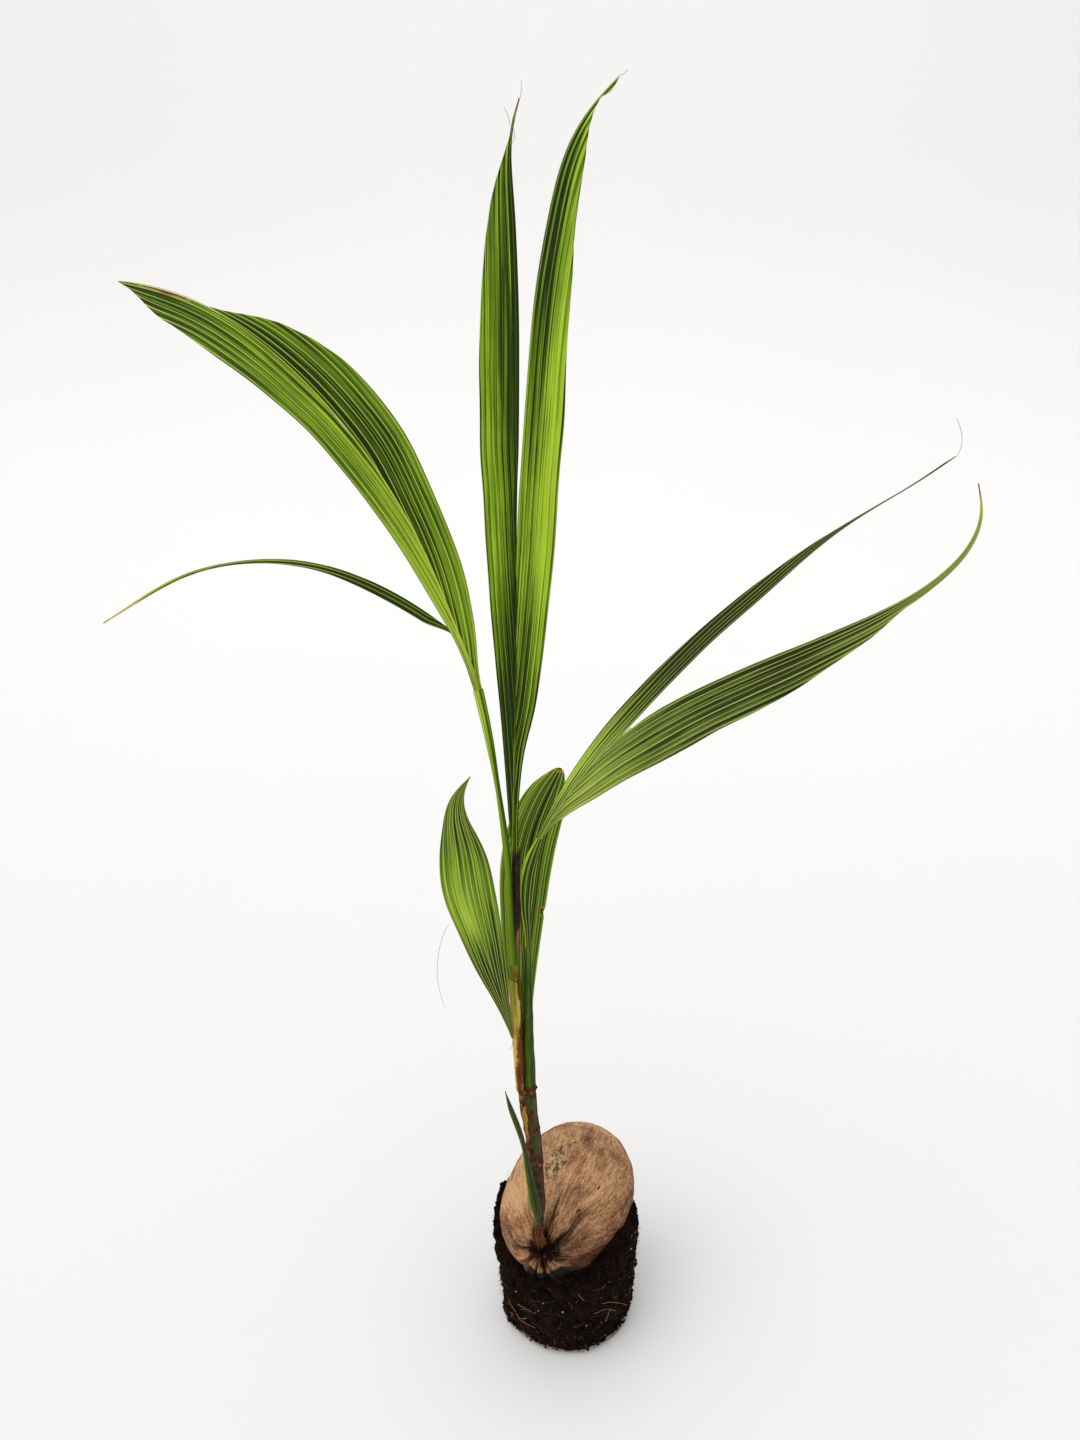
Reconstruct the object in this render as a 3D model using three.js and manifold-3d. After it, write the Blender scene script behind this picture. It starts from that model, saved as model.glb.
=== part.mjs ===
// Sprouted coconut: a young palm on its bare root ball, with the husked nut half buried on top.
// Millimetres, +Z up. +X is to the plant's right, +Y to its back, and the origin is the centre
// of the root ball's flat underside.
import * as THREE from 'three';
import { mergeVertices } from 'three/addons/utils/BufferGeometryUtils.js';
import Module from 'manifold-3d';

const wasm = await Module();
wasm.setup();

// Gap left between solids that touch on the real plant
const CLEARANCE = 0.3;

// Root ball: soil and roots in the shape of a tapered nursery pot
const ROOT_BALL = {
  height: 140,
  topRadius: 83,
  footRadius: 76,
  footRound: 12,
  unevenness: 1.6,
  sides: 44,
};

// Husked nut: it lies almost level, with its stem end to the front left
const NUT = {
  centre: [-1, 12, 143],
  length: 196,
  width: 144,
  height: 151,
  turn: 30,
  rise: 3,
  backSwell: 0.05,
  ridgeShare: 0.015,
  ribs: 3,
};

// Frayed pit in the husk that the sprout comes out of
const EYE = { centre: [-31, -81, 157], radius: 13 };

// A growth path leaves `start` and is `length` long. `lean` is the angle from upright towards
// the right and `away` the angle towards the back, in degrees, at even stations along it.
// A stalk has its half widths `across` and `deep`, also at even stations.
const LOWER_STEM = {
  start: [-25, -58, 151],
  length: 225,
  lean: [-37, 2, -4, -5, -8, -4],
  away: [-55, -5, 3, 2, 1, 1],
  across: [6, 8, 8.5, 9, 9.5, 9.5],
  deep: [6, 8, 8.5, 9, 9, 9],
};
const STEM_RING = { length: 5, lean: [-6], away: [1], across: [9.8, 10.4, 9.8], deep: [9.3, 10, 9.3] };
// Two sheaths stand on the ring, at these offsets from the middle of its top
const LEFT_SHEATH = {
  offset: [-6.5, -1, -1],
  length: 146,
  lean: [-2, -3],
  away: [1],
  across: [5, 5.5, 5.5, 4.4],
  deep: [8, 7.5, 6.5, 4.4],
};
const RIGHT_SHEATH = {
  offset: [3.5, 0, -1],
  length: 161,
  lean: [-2, 1],
  away: [3],
  across: [7, 6.5, 5.5, 4],
  deep: [8, 7.5, 6.5, 4.5],
};
const FIBRE_SHEATH = {
  start: [-57, -68, 499],
  length: 130,
  lean: [1, -1],
  away: [1],
  across: [2, 3.6, 4.2, 4],
  deep: [3, 5, 5.5, 5],
};

// A frond has a rachis, which may start at the top of a stalk. A lobe follows the rachis, and
// then its own path where it has one. `side` is 1 for a lobe on the right of its path and -1
// for one on the left, `tilt` turns it to the back, and `width` is its width, at even stations.
// `reach` is the share of the path that it covers, and `middle` puts the path at its midrib.
const LEFT_FROND = {
  stalk: {
    length: 285,
    lean: [-2, -3, -9, -11],
    away: [2],
    across: [4.4, 3.8, 3.6, 3.6],
    deep: [4.4, 4, 3.8, 3.6],
  },
  rachis: { length: 485, lean: [-16, -24, -37, -54, -80], away: [2, 8] },
  near: { side: -1, tilt: [-59, -54, -54, -30], width: [3, 16, 28, 37, 37, 7] },
  far: { side: 1, tilt: [34, 38, 40, 20], width: [5, 25, 37, 47, 39, 3], reach: 0.82 },
};
const STRAP = {
  path: { start: [-107, -60.5, 848], length: 375, lean: [-51, -69, -92, -114, -127], away: [6, 10] },
  lobe: { side: -1, tilt: [-35], width: [10, 11, 6, 3, 3, 3], folds: 2 },
};
const CENTRE_FROND = {
  rachis: { start: [-58, -66, 629], length: 325, lean: [1, 1, 0], away: [4] },
  left: {
    own: { length: 340, lean: [4, 0, 1, -3, -4, 18], away: [5] },
    side: -1,
    tilt: [-20, -30, -32, -20],
    width: [4, 9, 16, 25, 31, 38, 38, 34, 12, 1],
  },
  right: {
    own: { length: 365, lean: [6, 5, 5, 12, 21, 62], away: [2] },
    side: 1,
    tilt: [-20, -26, -28, -20],
    width: [4, 7, 24, 34, 39, 36, 32, 17, 1],
  },
};
const RIGHT_FROND = {
  stalk: { length: 120, lean: [-7, 3, 19], away: [0], across: [4, 6.5, 7, 4.5], deep: [4.5, 4.5, 4.5, 4] },
  rachis: { length: 145, lean: [28, 34, 46], away: [-5] },
  lower: {
    own: { length: 380, lean: [50, 60, 63, 61, 42, -22], away: [-10] },
    side: 1,
    tilt: [-35, -30, -25, -15],
    width: [4, 24, 41, 41, 34, 15, 1, 1],
  },
  upper: {
    own: { length: 390, lean: [38, 40, 45, 44, 50, 61, -45], away: [-5] },
    side: -1,
    tilt: [45, 50, 40, 30],
    width: [4, 10, 21, 21, 18, 12, 3, 3, 1],
  },
};
const LOW_LEFT_LEAF = {
  path: { start: [-60, -80, 433], length: 300, lean: [-12, -15, -11, -2, 12], away: [-3, -6] },
  lobe: { side: 1, tilt: [-18], width: [4, 23, 44, 55, 36, 1], middle: true },
};
const LOW_RIGHT_LEAF = {
  path: { start: [-49, -66, 419], length: 295, lean: [-6, 0, 3, 16, 31], away: [14, 8] },
  lobe: { side: 1, tilt: [-20], width: [12, 30, 43, 52, 52, 12], middle: true },
};
const FIRST_LEAF = {
  path: { start: [-35, -90, 204], length: 185, lean: [-6, -7, -13, -16], away: [-3] },
  lobe: { side: 1, tilt: [-25], width: [4, 18, 8, 6, 8, 1], middle: true, folds: 2 },
};

// Leaf section: thickness as a share of the leaf's length, thin margins and zigzag pleats
const LEAF = {
  thicknessShare: 0.0105,
  marginThickness: 1.2,
  narrowest: 1.6,
  folds: 8,
  foldDepth: 1.1,
  foldWidth: 20,
  ringStep: 27,
};
const STALK = { sides: 12, ringStep: 16 };
const PATH_STEPS = 60;

const COLOURS = {
  soil: [0x1d1512, 0.95],
  husk: [0xa8835f, 0.9],
  bark: [0x6d4a2c, 0.85],
  stalk: [0x6f9a2a, 0.5],
  sheath: [0x3f5d1f, 0.6],
  fibre: [0x35231a, 0.95],
  leaf: [0x5c8c26, 0.5],
  darkLeaf: [0x47701f, 0.5],
};

// Value at a share from 0 to 1 of the way along evenly spaced stations
function station(values, share) {
  if (values.length === 1) {
    return values[0];
  }
  const points = values.map((value, index) => new THREE.Vector2(index, value));
  return new THREE.SplineCurve(points).getPoint(share).y;
}

// Unit vector that leans right and back by the given degrees from upright
function direction(lean, away) {
  const right = THREE.MathUtils.degToRad(lean);
  const back = THREE.MathUtils.degToRad(away);
  const level = Math.cos(back);
  return new THREE.Vector3(Math.sin(right) * level, Math.sin(back), Math.cos(right) * level);
}

// Frames along a growth path, each with its place, its direction, its right side and its back
function grow({ start, length, lean, away }) {
  const frames = [];
  const place = new THREE.Vector3(...start);
  for (let step = 0; step <= PATH_STEPS; step += 1) {
    const share = step / PATH_STEPS;
    const along = direction(station(lean, share), station(away, share));
    const turn = THREE.MathUtils.degToRad(station(lean, share));
    const right = new THREE.Vector3(Math.cos(turn), 0, -Math.sin(turn));
    const back = new THREE.Vector3().crossVectors(along, right);
    frames.push({ place: place.clone(), along, right, back, distance: share * length });
    const middle = Math.min((step + 0.5) / PATH_STEPS, 1);
    place.addScaledVector(direction(station(lean, middle), station(away, middle)), length / PATH_STEPS);
  }
  return frames;
}

function endOf(frames) {
  return frames.at(-1).place.toArray();
}

// The first path, followed by a second one that leaves its end
function growOn(frames, next) {
  const reached = frames.at(-1).distance;
  const rest = grow({ ...next, start: endOf(frames) }).slice(1);
  return [...frames, ...rest.map((frame) => ({ ...frame, distance: frame.distance + reached }))];
}

// The frame at a distance along a path
function frameAt(frames, distance) {
  let next = frames.findIndex((frame) => frame.distance >= distance - 1e-6);
  next = next < 1 ? 1 : next;
  const before = frames[next - 1];
  const after = frames[next];
  const share = (distance - before.distance) / (after.distance - before.distance);
  const mix = (key) => before[key].clone().lerp(after[key], share);
  return { place: mix('place'), along: mix('along'), right: mix('right'), back: mix('back') };
}

// Closed skin over a row of loops. The first half of a loop is its front, and the rest runs back
// behind it, so that its ends close with strips.
function skin(loops) {
  const size = loops[0].length;
  const index = [];
  for (let ring = 0; ring < loops.length - 1; ring += 1) {
    for (let i = 0; i < size; i += 1) {
      const a = ring * size + i;
      const b = ring * size + ((i + 1) % size);
      index.push(a, b, b + size, a, b + size, a + size);
    }
  }
  const last = (loops.length - 1) * size;
  for (let i = 0; i < size / 2 - 1; i += 1) {
    const j = size - 1 - i;
    index.push(i, j - 1, i + 1, i, j, j - 1);
    index.push(last + i, last + i + 1, last + j - 1, last + i, last + j - 1, last + j);
  }
  const geometry = new THREE.BufferGeometry().setFromPoints(loops.flat());
  geometry.setIndex(index);
  return geometry;
}

// Stalk with an oval section
function stalkShape(frames, { across, deep }, gap = 0) {
  const length = frames.at(-1).distance;
  const rings = Math.max(2, Math.ceil(length / STALK.ringStep));
  const loops = [];
  for (let ring = 0; ring <= rings; ring += 1) {
    const share = ring / rings;
    const frame = frameAt(frames, share * length);
    const overrun = ring === 0 ? -gap : ring === rings ? gap : 0;
    const wide = station(across, share) + gap;
    const thick = station(deep, share) + gap;
    const loop = [];
    for (let i = 0; i < STALK.sides; i += 1) {
      const angle = ((i + 0.5) / STALK.sides) * 2 * Math.PI;
      const point = frame.place.clone().addScaledVector(frame.along, overrun);
      point.addScaledVector(frame.right, Math.cos(angle) * wide);
      point.addScaledVector(frame.back, Math.sin(angle) * thick);
      loop.push(point);
    }
    loops.push(loop);
  }
  return skin(loops);
}

// Pleated leaf blade, thickest along its middle
function leafShape(frames, leaf, gap = 0) {
  const { side, tilt, width, reach = 1, middle = false, folds = LEAF.folds } = leaf;
  const length = frames.at(-1).distance * reach;
  const rings = Math.ceil(length / LEAF.ringStep);
  const loops = [];
  for (let ring = 0; ring <= rings; ring += 1) {
    const share = ring / rings;
    const frame = frameAt(frames, share * length);
    const turn = THREE.MathUtils.degToRad(station(tilt, share));
    const across = frame.right.clone().multiplyScalar(side * Math.cos(turn));
    across.addScaledVector(frame.back, Math.sin(turn));
    const front = new THREE.Vector3().crossVectors(across, frame.along);
    const overrun = ring === 0 ? -gap : ring === rings ? gap : 0;
    const wide = Math.max(station(width, share), LEAF.narrowest);
    const thickest = Math.min(length * LEAF.thicknessShare, LEAF.marginThickness + wide / 4);
    const pleat = LEAF.foldDepth * Math.min(1, wide / LEAF.foldWidth);
    const faces = [[], []];
    for (let column = 0; column <= folds; column += 1) {
      const part = column / folds;
      const offset = (part - (middle ? 0.5 : 0)) * wide + (2 * part - 1) * gap;
      const bulge = (thickest - LEAF.marginThickness) * Math.sin(Math.PI * part);
      const half = (LEAF.marginThickness + bulge) / 2 + gap;
      const fold = column % 2 === 0 ? -pleat : pleat;
      const spot = frame.place.clone().addScaledVector(frame.along, overrun);
      spot.addScaledVector(across, offset).addScaledVector(front, fold / 2);
      faces[0].push(spot.clone().addScaledVector(front, half));
      faces[1].unshift(spot.clone().addScaledVector(front, -half));
    }
    loops.push([...faces[0], ...faces[1]]);
  }
  return skin(loops);
}

// Nut in its husk: an egg with three faint ridges along it
function nutShape(gap = 0) {
  const { centre, length, width, height, turn, rise, backSwell, ridgeShare, ribs } = NUT;
  const geometry = new THREE.SphereGeometry(1, 40, 22);
  const position = geometry.attributes.position;
  for (let i = 0; i < position.count; i += 1) {
    const point = new THREE.Vector3().fromBufferAttribute(position, i);
    const angle = Math.atan2(point.x, point.z);
    const ridges = ridgeShare * Math.cos(ribs * angle) * (1 - point.y ** 2);
    const swell = 1 + ridges + backSwell * point.y;
    point.x *= swell * (width / 2 + gap);
    point.y *= length / 2 + gap;
    point.z *= swell * (height / 2 + gap);
    position.setXYZ(i, ...point);
  }
  geometry.rotateX(THREE.MathUtils.degToRad(rise));
  geometry.rotateZ(THREE.MathUtils.degToRad(-turn));
  return geometry.translate(...centre);
}

function eyeShape() {
  return new THREE.SphereGeometry(EYE.radius, 16, 10).translate(...EYE.centre);
}

// Root ball: a tapered round block with a rounded foot and an uneven side
function rootBallShape() {
  const { height, topRadius, footRadius, footRound, unevenness, sides } = ROOT_BALL;
  const profile = new THREE.Path();
  profile.moveTo(0, 0);
  profile.lineTo(footRadius - footRound, 0);
  profile.quadraticCurveTo(footRadius - footRound / 4, 0, footRadius, footRound);
  const rows = 7;
  for (let row = 1; row <= rows; row += 1) {
    const share = row / rows;
    const radius = THREE.MathUtils.lerp(footRadius, topRadius, share);
    profile.lineTo(radius, THREE.MathUtils.lerp(footRound, height - 5, share));
  }
  profile.lineTo(topRadius - 6, height);
  profile.lineTo(0, height - 4);
  const geometry = new THREE.LatheGeometry(profile.getPoints(4), sides);
  geometry.rotateX(Math.PI / 2);
  const position = geometry.attributes.position;
  for (let i = 0; i < position.count; i += 1) {
    const point = new THREE.Vector3().fromBufferAttribute(position, i);
    const angle = Math.atan2(point.y, point.x);
    const waves = Math.sin(5 * angle + point.z / 17) + Math.sin(9 * angle - point.z / 11);
    const radius = Math.hypot(point.x, point.y);
    const swell = point.z > 1 && radius > 1 ? 1 + (unevenness * waves) / 2 / radius : 1;
    position.setXYZ(i, point.x * swell, point.y * swell, point.z);
  }
  return geometry;
}

// Exact solid from a closed geometry
function solidOf(geometry) {
  const bare = new THREE.BufferGeometry();
  bare.setAttribute('position', geometry.attributes.position);
  bare.setIndex(geometry.index);
  const merged = mergeVertices(bare, 1e-4);
  const corners = merged.index.array;
  const kept = [];
  for (let i = 0; i < corners.length; i += 3) {
    const [a, b, c] = corners.slice(i, i + 3);
    if (a !== b && b !== c && c !== a) {
      kept.push(a, b, c);
    }
  }
  return new wasm.Manifold(new wasm.Mesh({
    numProp: 3,
    vertProperties: new Float32Array(merged.attributes.position.array),
    triVerts: new Uint32Array(kept),
  }));
}

function geometryOf(solid) {
  const mesh = solid.getMesh();
  const geometry = new THREE.BufferGeometry();
  geometry.setAttribute('position', new THREE.BufferAttribute(mesh.vertProperties, 3));
  geometry.setIndex(new THREE.BufferAttribute(mesh.triVerts, 1));
  geometry.computeVertexNormals();
  return geometry;
}

const plant = new THREE.Group();
const taken = [];

// Adds a sub-part, cut back to clear all those added before it
function add(name, shape, [color, roughness]) {
  let solid = solidOf(shape(0));
  for (const earlier of taken) {
    solid = solid.subtract(earlier);
  }
  const pieces = solid.decompose().sort((a, b) => b.volume() - a.volume());
  taken.push(solidOf(shape(CLEARANCE)));
  const material = new THREE.MeshStandardMaterial({ color, roughness, metalness: 0 });
  const mesh = new THREE.Mesh(geometryOf(pieces[0]), material);
  mesh.name = name;
  plant.add(mesh);
}

function addStalk(name, frames, stalk, colour) {
  add(name, (gap) => stalkShape(frames, stalk, gap), colour);
}

function addLeaf(name, frames, leaf, colour) {
  add(name, (gap) => leafShape(frames, leaf, gap), colour);
}

function addLobe(name, rachis, lobe, colour) {
  addLeaf(name, growOn(rachis, lobe.own), lobe, colour);
}

const lowerStem = grow(LOWER_STEM);
const stemRing = grow({ ...STEM_RING, start: endOf(lowerStem) });
const onRing = ({ offset }) => endOf(stemRing).map((value, axis) => value + offset[axis]);
const leftSheath = grow({ ...LEFT_SHEATH, start: onRing(LEFT_SHEATH) });
const rightSheath = grow({ ...RIGHT_SHEATH, start: onRing(RIGHT_SHEATH) });
addStalk('lower_stem', lowerStem, LOWER_STEM, COLOURS.bark);
addStalk('stem_ring', stemRing, STEM_RING, COLOURS.bark);
addStalk('left_sheath', leftSheath, LEFT_SHEATH, COLOURS.stalk);
addStalk('right_sheath', rightSheath, RIGHT_SHEATH, COLOURS.sheath);

const leftStalk = grow({ ...LEFT_FROND.stalk, start: endOf(leftSheath) });
const leftRachis = grow({ ...LEFT_FROND.rachis, start: endOf(leftStalk) });
addStalk('left_frond_stalk', leftStalk, LEFT_FROND.stalk, COLOURS.stalk);
addLeaf('left_frond_near_half', leftRachis, LEFT_FROND.near, COLOURS.leaf);
addLeaf('left_frond_far_half', leftRachis, LEFT_FROND.far, COLOURS.darkLeaf);
addLeaf('left_frond_strap', grow(STRAP.path), STRAP.lobe, COLOURS.leaf);

const rightStalk = grow({ ...RIGHT_FROND.stalk, start: endOf(rightSheath) });
const rightRachis = grow({ ...RIGHT_FROND.rachis, start: endOf(rightStalk) });
addStalk('right_frond_stalk', rightStalk, RIGHT_FROND.stalk, COLOURS.stalk);
addLobe('right_frond_lower_lobe', rightRachis, RIGHT_FROND.lower, COLOURS.darkLeaf);
addLobe('right_frond_upper_lobe', rightRachis, RIGHT_FROND.upper, COLOURS.darkLeaf);

const centreRachis = grow(CENTRE_FROND.rachis);
addStalk('fibre_sheath', grow(FIBRE_SHEATH), FIBRE_SHEATH, COLOURS.fibre);
addLobe('centre_frond_left_lobe', centreRachis, CENTRE_FROND.left, COLOURS.leaf);
addLobe('centre_frond_right_lobe', centreRachis, CENTRE_FROND.right, COLOURS.leaf);

addLeaf('low_left_leaf', grow(LOW_LEFT_LEAF.path), LOW_LEFT_LEAF.lobe, COLOURS.leaf);
addLeaf('low_right_leaf', grow(LOW_RIGHT_LEAF.path), LOW_RIGHT_LEAF.lobe, COLOURS.darkLeaf);
addLeaf('first_leaf', grow(FIRST_LEAF.path), FIRST_LEAF.lobe, COLOURS.sheath);

// The nut has the eye hollowed out of it, and the soil closes round the whole nut
taken.push(solidOf(eyeShape()));
add('coconut_husk', nutShape, COLOURS.husk);
add('root_ball', rootBallShape, COLOURS.soil);

export default plant;
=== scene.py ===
"""Looks of a sprouted coconut palm on its bare root ball, made in mesh code and node materials.

Metres, +Z up, +X to the plant's right and +Y to its back. Sizes in the tables are millimetres
and degrees, and follow the same growth rule as the part's solids.
"""

import math

import bpy
import numpy as np
from bpy.props import FloatProperty, FloatVectorProperty, IntProperty, PointerProperty
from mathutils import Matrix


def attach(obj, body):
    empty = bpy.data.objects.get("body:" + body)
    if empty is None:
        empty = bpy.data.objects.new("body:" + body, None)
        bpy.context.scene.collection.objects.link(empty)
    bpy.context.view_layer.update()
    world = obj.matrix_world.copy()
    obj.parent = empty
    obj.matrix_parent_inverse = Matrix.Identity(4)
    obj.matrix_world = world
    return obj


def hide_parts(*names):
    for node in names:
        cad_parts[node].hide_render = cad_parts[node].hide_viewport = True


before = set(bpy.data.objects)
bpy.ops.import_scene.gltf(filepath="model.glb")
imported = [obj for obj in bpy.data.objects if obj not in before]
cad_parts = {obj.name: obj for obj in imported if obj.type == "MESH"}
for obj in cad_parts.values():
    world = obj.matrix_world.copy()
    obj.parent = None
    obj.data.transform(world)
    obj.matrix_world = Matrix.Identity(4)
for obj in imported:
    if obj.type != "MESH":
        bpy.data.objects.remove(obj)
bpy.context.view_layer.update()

bl_info = {
    "name": "Sprouted coconut palm",
    "version": (1, 0, 0),
    "blender": (4, 5, 0),
    "location": "3D View > Sidebar > Palm",
    "description": "Builds the fronds, stem, husked nut and root ball of a young coconut palm",
    "category": "Add Mesh",
}

MM = 0.001
PATH_STEPS = 60
UP = np.array([0.0, 0.0, 1.0])

ROOT_BALL = dict(height=140, top=83, foot=76, round=12, unevenness=1.6)
NUT = dict(
    centre=(-1, 12, 143), half=(72, 98, 75.5), turn=30, rise=3, back_swell=0.05, ridge_share=0.015,
    ribs=3)

# The soil's edge is lower in front, where the nut bulges over it: heights from the left side,
# round the front, to the right side. The soil under the foot of that slope stays as it is.
RIM_SPAN = (-105, 90)
RIM_HEIGHTS = [144, 136, 112, 106, 108, 111, 113, 115, 117, 125, 137, 140, 139, 140]
RIM_FOOT = 50
# Heaps of crumbs on the rim: degrees round from the front, lowest and highest place, and number
HEAPS = ((-111, 134, 150, 16), (-100, 128, 141, 12), (88, 130, 137, 8), (-84, 100, 118, 10))
HAIRS_PER_ROOT = 6
ROOT_POINTS = 16
PLUG_GRID = (189, 360)

# A growth path is its length, how far it leans to the right and to the back along it, and its
# start if that isn't the end of another path.
LOWER_STEM = dict(
    path=(225, [-37, 2, -4, -4, -7, -3.5], [-55, -5, 3, 2, 1, 1], (-25, -58, 151)),
    across=[3, 4.5, 6.4, 7.6, 8.3, 8.6, 8.9],
    deep=[3, 4.5, 6.4, 7.6, 8.3, 8.6, 8.8],
)
STEM_RING = dict(path=(5, [-6], [1]), across=[9.1, 9.9, 9.3], deep=[9.1, 9.8, 9.2])
LEFT_SHEATH = dict(
    offset=(-6.5, -1, -1),
    path=(146, [-2, -3], [1]),
    across=[4.8, 5.3, 5.4, 4.4],
    deep=[7.5, 7, 6, 3.6],
)
RIGHT_SHEATH = dict(
    offset=(3.5, 0, -1),
    path=(161, [-2, 1], [3]),
    across=[6.5, 5.8, 4.4, 3],
    deep=[8, 7, 5, 3.2],
)
FIBRE_SHEATH = dict(
    path=(132, [1, -1], [1], (-56, -69, 499)),
    across=[1.2, 2, 3.6, 3.9, 3.6],
    deep=[2, 3, 4.6, 5, 4.4],
)
STALK_PLEAT = 0.5 * MM

# A stalk and a rib are tubes, with their half sizes across and deep. The rib's grid is its rings
# and sides, and the rows are those of both blades.
FRONDS = dict(
    left=dict(
        stalk=(283.5, [-4.4, -1, -6.3, -8.8, -12.3], [2]),
        across=[4.5, 3.9, 3.4, 3.1, 2.4, 3.9, 4.8], deep=[3.6, 3.4, 3, 2.6, 2.4, 2.6, 2], folds=8,
        rachis=(486.5, [-18.4, -20.9, -31.4, -43.2, -58.7, -84.8], [2, 8]),
        rib=dict(across=[4, 1.5, 1.1, 0.8, 0.6, 0.5, 0.4, 0.3],
             deep=[1.8, 1.2, 1, 0.8, 0.6, 0.5, 0.4, 0.3]), rib_grid=(120, 10), rib_on="near_half",
        sides=("near_half", "far_half"), rows=240),
    centre=dict(
        rachis=(325, [1, 1, 0], [4], (-58, -66, 629)),
        rib=dict(across=[2.4, 1.4, 1, 0.7, 0.4], deep=[2.4, 1.4, 1, 0.7, 0.4]), rib_grid=(90, 16),
        rib_on="right_lobe", sides=("left_lobe", "right_lobe"), rows=300),
    right=dict(
        stalk=(120, [-0.3, -5, 2.4, 13.6, 22.6], [0]), across=[2.9, 3.2, 5, 6.6, 6.6, 5.6, 2.6],
        deep=[3.1, 2.6, 3, 3.2, 3, 2.6, 2], folds=9, rachis=(145, [28, 34, 46], [-5]),
        rib=dict(across=[0.5, 1, 0.7, 0.4], deep=[0.5, 1, 0.7, 0.4]), rib_grid=(50, 10),
        rib_on="lower_lobe", sides=("lower_lobe", "upper_lobe"), rows=260),
)

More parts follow.
